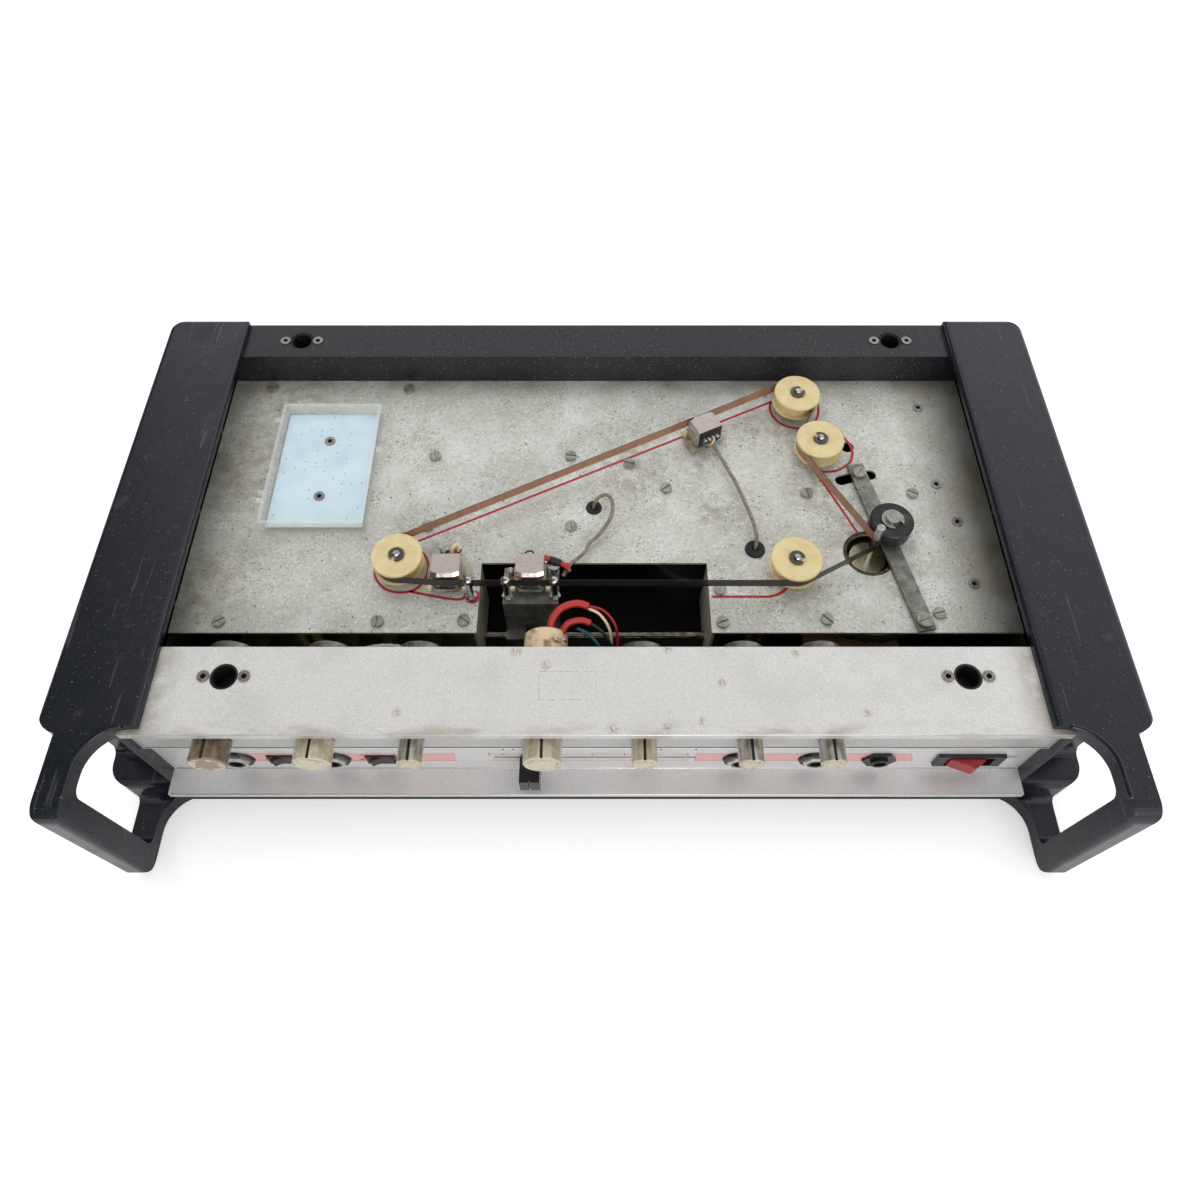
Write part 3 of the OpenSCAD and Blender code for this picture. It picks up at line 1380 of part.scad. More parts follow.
// Main board and a small tag board on pillars, with the parts on them
module circuit_board() {
    post_r = 3;
    inset = 7;
    tag_z = flywheel_z - 10;
    color([0.3, 0.33, 0.15]) {
        difference() {
            translate([board_x0, board_y, board_z]) cube([board_w, board_d, board_t]);
            for (p = pillar_at) translate([p[0], on_deck(p)[1], board_z - over])
                cylinder(d = pillar_d + 2, h = board_t + 2 * over);
        }
        translate([tag_board[0], tag_board[1], tag_z]) cube([tag_board[2], tag_board[3], board_t]);
    }
    color([0.72, 0.56, 0.25]) {
        for (x = [inset, board_w - inset], y = [inset, board_d - inset])
            translate([board_x0 + x, board_y + y, floor_z]) cylinder(r = post_r, h = board_z - floor_z);
        for (x = [inset, tag_board[2] - inset])
            translate([tag_board[0] + x, tag_board[1] + inset, floor_z])
                cylinder(r = post_r, h = tag_z - floor_z);
    }
    color([0.2, 0.25, 0.5])
    for (i = [0:4], j = [0:2]) translate([board_x0 + 18 + 25 * i, board_y + 66 + 30 * j, board_z + board_t])
        cylinder(r = 4 + (i + j) % 3, h = 12 + 3 * ((i * 2 + j) % 4));
}

transformer_at = [-28, 148];

module power_transformer() {
    core = [60, 34, 50];
    coil = [40, 52, 34];
    foot = [76, 34, 2];
    c = on_deck(transformer_at);
    color([0.28, 0.27, 0.26]) translate([c[0], c[1], floor_z]) {
        translate([-core[0] / 2, -core[1] / 2, 0]) cube(core);
        translate([-coil[0] / 2, -coil[1] / 2, (core[2] - coil[2]) / 2]) cube(coil);
        translate([-foot[0] / 2, -foot[1] / 2, 0]) cube(foot);
    }
}

inlet_x = 160;
inlet_w = 28;
inlet_h = 20;
fuse_x = 115;
fuse_d = 12;
rear_z = base_z + 32;

// Mains inlet with three pins, and the fuse holder beside it
module rear_fittings() {
    flange = 5;
    flange_h = 2;
    depth = 16;
    wall = 2.4;
    pin = [2, 9, 5];
    color([0.05, 0.05, 0.05]) {
        translate([inlet_x, rear_panel_y, rear_z]) difference() {
            union() {
                translate([-inlet_w / 2 - flange, 0, -inlet_h / 2 - flange / 2])
                    cube([inlet_w + 2 * flange, flange_h, inlet_h + flange]);
                translate([-inlet_w / 2 + fit, -depth, -inlet_h / 2 + fit])
                    cube([inlet_w - 2 * fit, depth + over, inlet_h - 2 * fit]);
            }
            translate([-inlet_w / 2 + wall, -depth + wall, -inlet_h / 2 + wall])
                cube([inlet_w - 2 * wall, depth + flange_h, inlet_h - 2 * wall]);
        }
        for (p = [[-7, -2], [0, 2.5], [7, -2]])
            translate([inlet_x + p[0] - pin[0] / 2, rear_panel_y - depth + wall, rear_z + p[1] - pin[2] / 2])
                cube(pin);
        translate([fuse_x, rear_panel_y - 26, rear_z]) from_front() cylinder(d = fuse_d, h = 26);
        translate([fuse_x, rear_panel_y, rear_z]) from_front() cylinder(d = fuse_d + 3, h = flange_h);
    }
}

// ---------------------------------------------------------------- all pieces

left_cheek();
right_cheek();
chassis_tray();
rear_panel();
front_rail();
rear_rail();
control_panel();
deck_plate();
rubber_feet();
latch_cups();
hollow_rivets();
deck_screws();
deck_pillars();
spare_tape_tray();
tray_card();
pulley_1();
pulley_2();
pulley_3();
pulley_4();
pulley_posts();
pulley_clips();
capstan_shaft();
flywheel();
capstan_bearing();
drive_motor();
motor_pulley();
drive_belt();
pinch_arm();
pinch_roller();
arm_pins();
record_head();
erase_head();
head_brackets();
playback_head();
head_carriage();
slider_lever();
carriage_rod();
guide_posts();
carriage_posts();
head_leads();
playback_lead();
grommets();
tape_loop();
knob_1();
knob_2();
knob_3();
knob_4();
knob_5();
knob_6();
knob_7();
pots();
jack_sockets();
jack_nuts();
echo_rocker_1();
echo_rocker_2();
mains_rocker();
switch_frames();
power_transformer();
circuit_board();
rear_fittings();
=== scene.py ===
"""Dresses the tape echo unit: chassis, controls, zinc deck with its tape loop, rails and cheeks."""
import math
import random

import bpy
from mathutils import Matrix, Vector


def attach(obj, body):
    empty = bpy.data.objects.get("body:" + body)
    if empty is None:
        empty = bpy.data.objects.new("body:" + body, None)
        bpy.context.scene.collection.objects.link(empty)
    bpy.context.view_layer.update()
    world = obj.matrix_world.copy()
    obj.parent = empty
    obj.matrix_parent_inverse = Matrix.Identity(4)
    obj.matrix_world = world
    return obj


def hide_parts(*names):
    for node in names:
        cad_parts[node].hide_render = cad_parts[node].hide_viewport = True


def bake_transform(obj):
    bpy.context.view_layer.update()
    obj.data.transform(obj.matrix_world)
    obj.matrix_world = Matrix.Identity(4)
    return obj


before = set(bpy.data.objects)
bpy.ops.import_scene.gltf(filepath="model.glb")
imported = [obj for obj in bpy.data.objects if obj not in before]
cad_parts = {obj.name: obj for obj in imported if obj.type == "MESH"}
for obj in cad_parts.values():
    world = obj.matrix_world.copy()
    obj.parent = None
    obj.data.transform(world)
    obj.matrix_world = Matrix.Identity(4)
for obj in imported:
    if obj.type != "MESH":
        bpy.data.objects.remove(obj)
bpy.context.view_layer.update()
scene = bpy.context.scene

# ------------------------------------------------------------ camera, lamps and table
# The unit stands on a white table. The camera looks down on the deck from in front of
# the controls, under a wide soft light from behind and above and a weak lamp in front.
camera = bpy.data.objects.new("camera", bpy.data.cameras.new("camera"))
camera.location = (0, -0.2723, 0.532)
camera.rotation_euler = (math.radians(32.34), 0, 0)
camera.data.sensor_width = 36
camera.data.lens = 27.69
camera.data.shift_x = 4 / 1200
camera.data.shift_y = -58.5 / 1200
scene.collection.objects.link(camera)
scene.camera = camera
scene.view_settings.view_transform = "Standard"


def lamp(name, place, size, power):
    """A soft rectangular lamp that faces the unit."""
    light = bpy.data.lights.new(name, "AREA")
    light.shape = "RECTANGLE"
    light.size, light.size_y = size
    light.energy = power
    stand = bpy.data.objects.new(name, light)
    stand.location = place
    stand.rotation_euler = (Vector((0, 0, 0.05)) - Vector(place)).to_track_quat("-Z", "Y").to_euler()
    scene.collection.objects.link(stand)


lamp("front", (0.5, -1.5, 1.0), (0.9, 0.5), 6)


def add(kind, **settings):
    """A new node in the world or finish that is being made."""
    node = tree.nodes.new("ShaderNode" + kind)
    for key, value in settings.items():
        setattr(node, key, value)
    return node


def join(start, end):
    """Connects two nodes."""
    tree.links.new(start, end)


def ramp(value, low, high, to_low=0.0, to_high=1.0):
    """Maps low to to_low and high to to_high, and holds beyond them."""
    step = add("MapRange")
    join(value, step.inputs["Value"])
    for key, number in (("From Min", low), ("From Max", high), ("To Min", to_low), ("To Max", to_high)):
        step.inputs[key].default_value = number
    return step.outputs[0]


sky = bpy.data.worlds.new("studio")
scene.world = sky
sky.use_nodes = True
tree = sky.node_tree
tree.nodes.clear()
lit, mirrored, seen = (add("Background") for _ in range(3))
seen.inputs["Color"].default_value = (1, 1, 1, 1)
direction = add("TexCoord")
toward = add("VectorMath", operation="DOT_PRODUCT")
toward.inputs[1].default_value = (-0.15, 0.42, 0.89)
join(direction.outputs["Generated"], toward.inputs[0])
join(ramp(toward.outputs["Value"], 0.84, 0.99, 0.84, 3.1), lit.inputs["Strength"])
# What shiny parts mirror: bright low down, darker straight above.
split = add("SeparateXYZ")
join(direction.outputs["Generated"], split.inputs[0])
rise = add("ValToRGB")
levels = ((0.0, 0.95), (0.64, 1.12), (0.70, 0.98), (0.76, 0.82), (0.84, 0.66), (0.92, 0.42), (1.0, 0.08))
for spot, (height, level) in enumerate(levels):
    stop = rise.color_ramp.elements[spot] if spot < 2 else rise.color_ramp.elements.new(height)
    stop.position = height
    stop.color = (level, level, level * 1.02, 1)
join(split.outputs["Z"], rise.inputs["Fac"])
join(rise.outputs["Color"], mirrored.inputs["Color"])
# The left cheek mirrors a darker part of the room.
join(ramp(split.outputs["X"], -0.50, -0.38, 0.1, 1.0), mirrored.inputs["Strength"])
ray = add("LightPath")
glossy = add("MixShader")
join(ray.outputs["Is Glossy Ray"], glossy.inputs[0])
join(lit.outputs[0], glossy.inputs[1])
join(mirrored.outputs[0], glossy.inputs[2])
through = add("Math", operation="MAXIMUM")
join(ray.outputs["Is Camera Ray"], through.inputs[0])
join(ray.outputs["Is Transmission Ray"], through.inputs[1])
whole = add("MixShader")
join(through.outputs[0], whole.inputs[0])
join(glossy.outputs[0], whole.inputs[1])
join(seen.outputs[0], whole.inputs[2])
join(whole.outputs[0], add("OutputWorld").inputs[0])

table_white = bpy.data.materials.new("table_white")
table_white.use_nodes = True
tree = table_white.node_tree
shader = tree.nodes["Principled BSDF"]
shader.inputs["Base Color"].default_value = (0.86, 0.86, 0.86, 1)
shader.inputs["Roughness"].default_value = 0.7
glow = add("Emission")
ray = add("LightPath")
weak = add("Math", operation="MULTIPLY")
weak.inputs[1].default_value = 0.45
join(ray.outputs["Is Camera Ray"], weak.inputs[0])
join(weak.outputs[0], glow.inputs["Strength"])
both = add("AddShader")
join(shader.outputs[0], both.inputs[0])
join(glow.outputs[0], both.inputs[1])
join(both.outputs[0], tree.nodes["Material Output"].inputs[0])
bpy.ops.mesh.primitive_plane_add(size=12, location=(0, 0, 0))
table = bpy.context.object
table.name = "table"
table.data.materials.append(table_white)

# ------------------------------------------------------------ chassis tray and feet
# A folded steel tray, painted dark, that carries everything else. Four rubber feet are
# screwed under it.


def finish(name, colour, rough, metal=0.0, **sockets):
    """Starts a finish; the calls after it add to this one, until the next one starts."""
    global tree, shader
    material = bpy.data.materials.new(name)
    material.use_nodes = True
    material.diffuse_color = (*colour, 1)
    tree = material.node_tree
    shader = tree.nodes["Principled BSDF"]
    shader.inputs["Base Color"].default_value = (*colour, 1)
    shader.inputs["Roughness"].default_value = rough
    shader.inputs["Metallic"].default_value = metal
    for key, value in sockets.items():
        shader.inputs[key.replace("_", " ")].default_value = value
    return material


def lay(value, socket="Base Color"):
    """Feeds a colour or an amount to one of the finish's sockets."""
    join(value, shader.inputs[socket])


def mix(factor, a, b):
    """Colour a, turning to b as factor goes from 0 to 1."""
    blend = add("Mix", data_type="RGBA")
    for slot, value in ((0, factor), (6, a), (7, b)):
        if hasattr(value, "links"):
            join(value, blend.inputs[slot])
        else:
            blend.inputs[slot].default_value = value if slot == 0 else (*value, 1)
    return blend.outputs[2]


def times(a, b):
    """One amount times another."""
    product = add("Math", operation="MULTIPLY")
    for slot, value in ((0, a), (1, b)):
        if hasattr(value, "links"):
            join(value, product.inputs[slot])
        else:
            product.inputs[slot].default_value = value
    return product.outputs[0]


def placed(scale=(1, 1, 1), shift=(0, 0, 0)):
    """The surface's own place in metres, shifted, then scaled."""
    place = add("TexCoord")
    move = add("VectorMath")
    move.inputs[1].default_value = shift
    join(place.outputs["Object"], move.inputs[0])
    size = add("VectorMath", operation="MULTIPLY")
    size.inputs[1].default_value = scale
    join(move.outputs[0], size.inputs[0])
    return size.outputs[0]


def grain(pitch, low, high, detail=4.0, stretch=(1, 1, 1), shift=0.0):
    """Patches of noise as 0 to 1; pitch is their spacing in millimetres."""
    cloud = add("TexNoise")
    cloud.inputs["Scale"].default_value = 1.0
    cloud.inputs["Detail"].default_value = detail
    scale = [1000 / pitch * s for s in stretch]
    join(placed(scale, (shift, shift * 0.7, 0)), cloud.inputs["Vector"])
    return ramp(cloud.outputs["Fac"], low, high)


def relief(height, depth, strength=1.0):
    """Fine relief; depth in millimetres."""
    bump = add("Bump")
    bump.inputs["Strength"].default_value = strength
    bump.inputs["Distance"].default_value = depth / 1000
    join(height, bump.inputs["Height"])
    lay(bump.outputs[0], "Normal")


def dress(material, *names):
    """Gives CAD nodes one finish."""
    for name in names:
        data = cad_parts[name].data
        data.materials.clear()
        data.materials.append(material)


tray_paint = finish("tray_paint", (0.012, 0.012, 0.013), 0.55)
dusty = mix(grain(1.4, 0.55, 0.75), (0.012, 0.012, 0.013), (0.05, 0.048, 0.045))
lay(dusty)
relief(grain(0.8, 0.3, 0.7, 2), 0.05, 0.3)
dress(tray_paint, "chassis_tray")
foot_rubber = finish("foot_rubber", (0.02, 0.02, 0.02), 0.8)
lay(ramp(grain(3, 0.3, 0.7), 0, 1, 0.65, 0.9), "Roughness")
relief(grain(0.8, 0.3, 0.7, 3), 0.1, 0.5)
dress(foot_rubber, "rubber_feet")

# ------------------------------------------------------------ mains transformer and rear
# A laminated core in a steel shroud feeds the unit through a plain inlet and a fuse
# holder on the black-painted rear panel.
core_varnish = finish("core_varnish", (0.05, 0.045, 0.04), 0.45, 0.4)
leaves = grain(0.5, 0.35, 0.65, 2, (0.02, 0.02, 1))
lay(mix(leaves, (0.035, 0.03, 0.028), (0.10, 0.095, 0.09)))
relief(leaves, 0.08, 0.4)
dress(core_varnish, "power_transformer")
rail_black = finish("rail_black", (0.011, 0.013, 0.018), 0.3, Specular_IOR_Level=0.45)
haze = grain(33, 0.45, 0.75, 7, (1, 1, 0.5))
dust = grain(1.5, 0.60, 0.72, 5)
dusty_part = ramp(grain(60, 0.3, 0.7, 3), 0, 1, 0.25, 0.8)
painted = mix(haze, (0.011, 0.013, 0.018), (0.020, 0.021, 0.025))
painted = mix(times(dust, dusty_part), painted, (0.22, 0.19, 0.15))
lay(painted)
lay(ramp(haze, 0, 1, 0.24, 0.42), "Roughness")
relief(grain(0.7, 0.3, 0.7, 2), 0.05, 0.25)
dress(rail_black, "rear_panel")
fitting_black = finish("fitting_black", (0.012, 0.012, 0.012), 0.4)
relief(grain(0.6, 0.3, 0.7, 2), 0.04, 0.3)
dress(fitting_black, "rear_fittings")

# ------------------------------------------------------------ circuit boards
# A lacquered main board on brass pillars, and a small brown tag board under the deck's
# right edge. Cotton-bound screened cables cross the gap behind the front rail.


def side_of(axis, clear, full):
    """0 at the place clear, 1 at the place full, in millimetres along an axis."""
    split = add("SeparateXYZ")
    join(placed(), split.inputs[0])
    if clear > full:
        return ramp(split.outputs[axis], full / 1000, clear / 1000, 1, 0)
    return ramp(split.outputs[axis], clear / 1000, full / 1000)


board_lacquer = finish("board_lacquer", (0.10, 0.055, 0.025), 0.35)
brown = side_of("X", 0, 1)
# The board's green and brown are painted lighter than the real lacquer: painted light in the dim gap under
# the deck.
lacquer_painted_lighter = mix(brown, (0.16, 0.17, 0.065), (0.30, 0.17, 0.08))
lacquer_painted_lighter = mix(times(grain(4, 0.45, 0.65, 3), 0.5), lacquer_painted_lighter, (0.2, 0.14, 0.08))
lay(lacquer_painted_lighter)
dress(board_lacquer, "circuit_board")
pillar_brass = finish("pillar_brass", (0.55, 0.44, 0.2), 0.28, 1.0)
lay(mix(grain(2, 0.4, 0.7), (0.90, 0.76, 0.42), (0.60, 0.48, 0.25)))
dress(pillar_brass, "deck_pillars")


def at(x, y, z):
    """A place in millimetres, as Blender's metres."""
    return Vector((x, y, z)) / 1000


def piece(name, verts, faces, materials, body="chassis", looks=None, smooth=False):
    """A mesh piece that rides on a body; looks gives each face its material's number."""
    data = bpy.data.meshes.new(name)
    data.from_pydata([tuple(v) for v in verts], [], faces)
    for material in materials:
        data.materials.append(material)
    for i, face in enumerate(data.polygons):
        face.material_index = looks[i] if looks else 0
        face.use_smooth = smooth
    made = bpy.data.objects.new(name, data)
    scene.collection.objects.link(made)
    if body:
        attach(made, body)
    return made


def smooth_line(points, steps):
    """More points, on a smooth curve through the given ones."""
    line = []
    for i in range(len(points) - 1):
        a, b, c, d = (Vector(points[j]) for j in (max(i - 1, 0), i, i + 1, min(i + 2, len(points) - 1)))
        for k in range(steps):
            t = k / steps
            line.append(0.5 * (2 * b + (c - a) * t + (2 * a - 5 * b + 4 * c - d) * t * t
                               + (3 * b - a - 3 * c + d) * t ** 3))
    return line + [Vector(points[-1])]


def wire(name, points, radius, material, body="chassis", sides=8, steps=6):
    """A round wire, sleeve or bead along points in millimetres."""
    line = smooth_line(points, steps)
    verts, faces, side = [], [], None
    for i, p in enumerate(line):
        along = (line[min(i + 1, len(line) - 1)] - line[max(i - 1, 0)]).normalized()
        side = (side - along * side.dot(along)) if side else along.orthogonal()
        side.normalize()
        up = along.cross(side)
        for k in range(sides):
            a = math.tau * k / sides
            verts.append((p + radius * (math.cos(a) * side + math.sin(a) * up)) / 1000)
    for i in range(len(line) - 1):
        for k in range(sides):
            a, b = i * sides + k, i * sides + (k + 1) % sides
            faces.append((a, b, b + sides, a + sides))
    faces += [tuple(reversed(range(sides))), tuple(range(len(verts) - sides, len(verts)))]
    return piece(name, verts, faces, [material], body, smooth=True)


cable_grey = finish("cable_grey", (0.35, 0.34, 0.31), 0.6)
braid = grain(0.7, 0.4, 0.6, 2)
lay(mix(braid, (0.16, 0.16, 0.145), (0.50, 0.48, 0.44)))
cable_black = finish("cable_black", (0.012, 0.012, 0.012), 0.4)
cable_white = finish("cable_white", (0.62, 0.58, 0.48), 0.45)
loom = {
    "grey_1": ([(-196, -64, 82), (-182, -58, 85), (-168, -62, 82), (-150, -57, 78)], 1.6, cable_grey),
    "grey_2": ([(-212, -60, 84), (-200, -57, 86), (-190, -63, 80), (-186, -66, 66)], 1.4, cable_black),
    "grey_3": ([(-140, -66, 74), (-126, -58, 84), (-106, -56, 85), (-88, -63, 80), (-80, -70, 66)],
               1.5, cable_grey),
    "white_1": ([(-128, -66, 70), (-118, -60, 81), (-104, -61, 83), (-96, -68, 74)], 1.0, cable_white),
    "black_1": ([(66, -66, 76), (84, -58, 83), (104, -57, 84), (128, -62, 80), (140, -70, 66)],
                1.5, cable_black),
    "white_2": ([(150, -66, 72), (166, -58, 82), (186, -57, 83), (204, -64, 76)], 1.1, cable_white)}
for part, (route, radius, sleeve) in loom.items():
    wire("loom_" + part, route, radius, sleeve)

# ------------------------------------------------------------ control panel
# One folded sheet of satin aluminium: an upper tier, a lower tier, and a shelf whose
# front edge turns down. Pale red bands and red and black scale marks are printed on it.
panel_y, band_y, shelf_y = -108, -111, -122.5
aluminium = finish("panel_aluminium", (0.80, 0.79, 0.785), 0.34, 0.35)
fine = grain(0.55, 0.3, 0.7, 3, (0.3, 1, 1))
glitter = grain(0.5, 0.62, 0.70, 2)
sheet = mix(fine, (0.70, 0.69, 0.68), (0.86, 0.85, 0.845))
sheet = mix(grain(40, 0.55, 0.8, 6), sheet, (0.62, 0.60, 0.56))
# Above the fold at 83 mm the upper tier is painted half-way to dark grey: painted shade under the front rail.
sheet = mix(times(side_of("Z", 82, 83), 0.5), sheet, (0.34, 0.34, 0.33))
lay(mix(glitter, sheet, (1, 1, 1)))
lay(ramp(fine, 0, 1, 0.42, 0.26), "Roughness")
relief(grain(0.4, 0.3, 0.7, 2), 0.04, 0.5)
dress(aluminium, "control_panel")
edge_metal = finish("edge_metal", (0.86, 0.85, 0.84), 0.25, 0.5)
half_panel = 227.5
for part, y, z, radius in (("tier", band_y + 0.4, 81.4, 0.55), ("shelf_edge", shelf_y + 0.1, 42.2, 0.5),
                           ("shelf_fold", panel_y - 0.1, 42.9, 0.45)):
    wire(part + "_bead", [(-half_panel, y, z), (half_panel, y, z)], radius, edge_metal, steps=1)


def printed_line(name, points, width, material, steps=8, up=(0, 0, 1), body="chassis"):
    """A flat inked line through points in millimetres, on a face that looks along up."""
    up = Vector(up)
    line = smooth_line(points, steps)
    verts = []
    for i, p in enumerate(line):
        along = (line[min(i + 1, len(line) - 1)] - line[max(i - 1, 0)]).normalized()
        across = up.cross(along).normalized() * width / 2
        verts += [(p + across + up * 0.04) / 1000, (p - across + up * 0.04) / 1000]
    faces = [(2 * i, 2 * i + 1, 2 * i + 3, 2 * i + 2) for i in range(len(line) - 1)]
    return piece(name, verts, faces, [material], body)


def printed_patch(name, corners, material, lift=0.02):
    """A flat inked patch on the lower tier; corners are X and Z, clockwise from the front."""
    verts = [at(x, panel_y - lift, z) for x, z in corners]
    return piece(name, verts, [tuple(range(len(corners)))], [material])


def on_tier(spots):
    """Places on the lower tier's face, from X and Z."""
    return [(x, panel_y, z) for x, z in spots]


def ink(name, colour, worn, rough=0.5):
    """Screen-printed ink, rubbed thin in specks; the same finish also paints a shade line."""
    material = finish(name, colour, rough)
    lay(mix(grain(1.1, 0.50, 0.75, 3), colour, worn))
    return material


to_front = (0, -1, 0)
red_pale = ink("red_pale_ink", (0.76, 0.42, 0.40), (0.78, 0.60, 0.57))
red_line = ink("red_line_ink", (0.62, 0.14, 0.15), (0.70, 0.36, 0.34))
black_ink = ink("black_ink", (0.02, 0.02, 0.02), (0.10, 0.10, 0.10))
# Dark ink for the painted shade along the step under the upper tier.
tier_shade_ink = ink("tier_shade_ink", (0.06, 0.06, 0.06), (0.14, 0.14, 0.14))
bands = {"left": [(-190, 54.5), (-74, 54.5), (-74, 65), (-190, 65)],
         "right": [(52.5, 54.5), (168.5, 54.5), (165, 65), (52.5, 65)]}
for part, band in bands.items():
    printed_patch("band_" + part, band, red_pale)
for part, band in bands.items():
    printed_line("band_outline_" + part, on_tier(band + band[:1]), 0.55, red_line, 1, to_front)
for part, z in (("upper", 64.7), ("lower", 55.1)):
    printed_line("scale_" + part, on_tier([(-56, z), (49, z)]), 0.5, red_line, 1, to_front)
for i, x in enumerate((-56, -49, -2, 15, 48)):
    printed_line(f"scale_mark_{i + 1}", on_tier([(x, 62.6), (x, 66)]), 0.6, red_line, 1, to_front)
for i, x in enumerate((-48, -42.8, -37.5, 33.6, 51.7)):
    printed_line(f"scale_tick_{i + 1}", on_tier([(x, 71), (x, 74.6)]), 1.0, black_ink, 1, to_front)
# A dark line along the step under the upper tier's edge: painted shade.
printed_line("upper_tier_shade_line", [(-half_panel, band_y, 83), (half_panel, band_y, 83)], 1.1, tier_shade_ink, 1,
             to_front)


def printed_sign(name, words, place, height, material):
    """Plain figures or a switch mark on the lower tier."""
    data = bpy.data.curves.new(name, "FONT")
    data.body = words
    data.size = height / 1000
    data.align_x = "CENTER"
    data.shear = 0.2
    data.materials.append(material)
    sign = bpy.data.objects.new(name, data)
    sign.location = at(*place)
    sign.rotation_euler = (math.radians(90), 0, 0)
    scene.collection.objects.link(sign)
    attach(sign, "chassis")


red_figure = ink("red_figure_ink", (0.60, 0.05, 0.07), (0.66, 0.2, 0.2))
printed_sign("figure_1", "1", (-174.5, panel_y - 0.05, 55.4), 12, red_figure)
printed_sign("figure_2", "2", (-123.7, panel_y - 0.05, 55.4), 12, red_figure)
printed_sign("switch_on_mark", "ON", (218, panel_y - 0.05, 59), 4.6, black_ink)

# ------------------------------------------------------------ sockets
# Black jack sockets, four with a chrome nut and ring and the footswitch's with a black
# hexagon nut. Each is screwed through the lower tier.
socket_black = finish("socket_black", (0.012, 0.012, 0.012), 0.24)
relief(grain(0.5, 0.3, 0.7, 2), 0.03, 0.2)
dress(socket_black, "jack_sockets")
chrome = finish("chrome", (0.85, 0.85, 0.85), 0.1, 0.75)
lay(ramp(grain(2, 0.4, 0.7), 0, 1, 0.08, 0.24), "Roughness")
dress(chrome, "jack_nuts")

# ------------------------------------------------------------ switches
# Two black echo buttons with dished faces, and a translucent red mains rocker in a black
# frame with a grey well.
button_black = finish("button_black", (0.014, 0.014, 0.014), 0.3)
relief(grain(0.7, 0.3, 0.7, 2), 0.03, 0.25)
dress(button_black, "echo_rocker_1", "echo_rocker_2", "switch_frames")
rocker_red = finish("rocker_red", (0.40, 0.016, 0.022), 0.16, Transmission_Weight=0.3)
lay(mix(grain(5, 0.4, 0.7), (0.56, 0.035, 0.04), (0.34, 0.014, 0.02)))
dress(rocker_red, "mains_rocker")

# ------------------------------------------------------------ potentiometers
# Seven plated potentiometers on a bar. The fourth is an old cased one, tan and stained,
# with red-sleeved wires that arch over the notch to it.


def near(place, inner, outer):
    """1 within inner millimetres of a place, 0 beyond outer."""
    gap = add("VectorMath", operation="DISTANCE")
    gap.inputs[1].default_value = at(*place)
    join(placed(), gap.inputs[0])
    return ramp(gap.outputs["Value"], inner / 1000, outer / 1000, 1.0, 0.0)


pot_plate = finish("pot_plate", (0.5, 0.49, 0.47), 0.35, 0.8)
old_case = near((-26.3, -56, 94), 16.5, 16.8)
tan = mix(grain(6, 0.50, 0.66, 5), (0.72, 0.56, 0.36), (0.30, 0.19, 0.09))
plate = mix(grain(2, 0.4, 0.7), (0.26, 0.25, 0.235), (0.16, 0.15, 0.13))
lay(mix(old_case, plate, tan))
lay(ramp(old_case, 0, 1, 0.85, 0.05), "Metallic")
dress(pot_plate, "pots")
sleeve_red = finish("sleeve_red", (0.46, 0.03, 0.022), 0.42)
relief(grain(1.2, 0.3, 0.7, 2), 0.05, 0.3)
crimson_wire = finish("crimson_wire", (0.36, 0.008, 0.02), 0.35)
cream_wire = finish("cream_wire", (0.74, 0.60, 0.38), 0.4)
blue_wire = finish("blue_wire", (0.02, 0.10, 0.16), 0.4)
tinned = finish("tinned_tag", (0.7, 0.69, 0.67), 0.3, 0.9)
arches = {
    "sleeve_1": ([(-24, -56, 98), (-23, -50, 104), (-18, -44, 106.5), (-10, -41, 106), (-4, -42, 104.6)],
                 2.0, sleeve_red),
    "sleeve_2": ([(-18, -56, 99), (-15, -51, 102), (-8, -49, 102.4), (-3, -50, 101)], 1.8, sleeve_red),
    "crimson": ([(-4, -42, 104.8), (4, -44, 103.6), (10, -50, 99), (11.4, -57, 90), (10, -63, 78)],
                0.75, crimson_wire),
    "cream": ([(-4, -43, 104), (2, -46, 103), (7, -52, 98), (8, -59, 88), (6, -64, 78)], 0.8, cream_wire),
    "blue": ([(-10, -52, 99), (-4, -55, 98), (2, -60, 92), (5, -65, 80)], 0.9, blue_wire),
    "black": ([(-3, -50, 101), (4, -54, 97), (9, -60, 88), (9, -66, 76)], 0.9, cable_black)}
for part, (route, radius, sleeve) in arches.items():
    wire("pot_wire_" + part, route, radius, sleeve)
tag = [(-22, -61.5, 102.5), (-21, -61.5, 106), (-19, -61.5, 102.8), (-17, -61.5, 106), (-15.6, -61.5, 102.5)]
wire("pot_tag", tag, 0.7, tinned, steps=2)

# ------------------------------------------------------------ knobs
# Turned acrylic rods on the spindles: amber, yellowed or clear, with a silvered bore that
# shows as streaks, a conical end and a black line along the top.
knob_list = (("amber", -189.5, 19), ("yellowed", -138.6, 19), ("clear", -91, 12.7), ("yellowed", -26.3, 19),
             ("yellowed", 23.7, 12.7), ("clear", 76, 12.7), ("clear", 116, 12.7))
knob_front, knob_back, knob_z = -124, -112.2, 94


def acrylic(name, tint, rim, dark, silver):
    """Cast acrylic rod; silver is how much of the silvered bore shows as streaks."""
    material = finish(name, tint, 0.14, 0.0, Coat_Weight=0.6)
    streak = grain(2.2, 0.38, 0.62, 4, (1, 0.04, 1), shift=tint[0])
    body = mix(streak, tint, dark)
    cloudy = mix(grain(3, 0.5, 0.75, 5), body, rim)
    at_rim = side_of("Y", knob_front + 1.2, knob_front + 0.4)
    lay(mix(at_rim, cloudy, rim))
    lay(times(ramp(at_rim, 0, 1, 1, 0), silver), "Metallic")
    lay(ramp(streak, 0, 1, 0.12, 0.3), "Roughness")
    relief(streak, 0.08, 0.35)
    return material


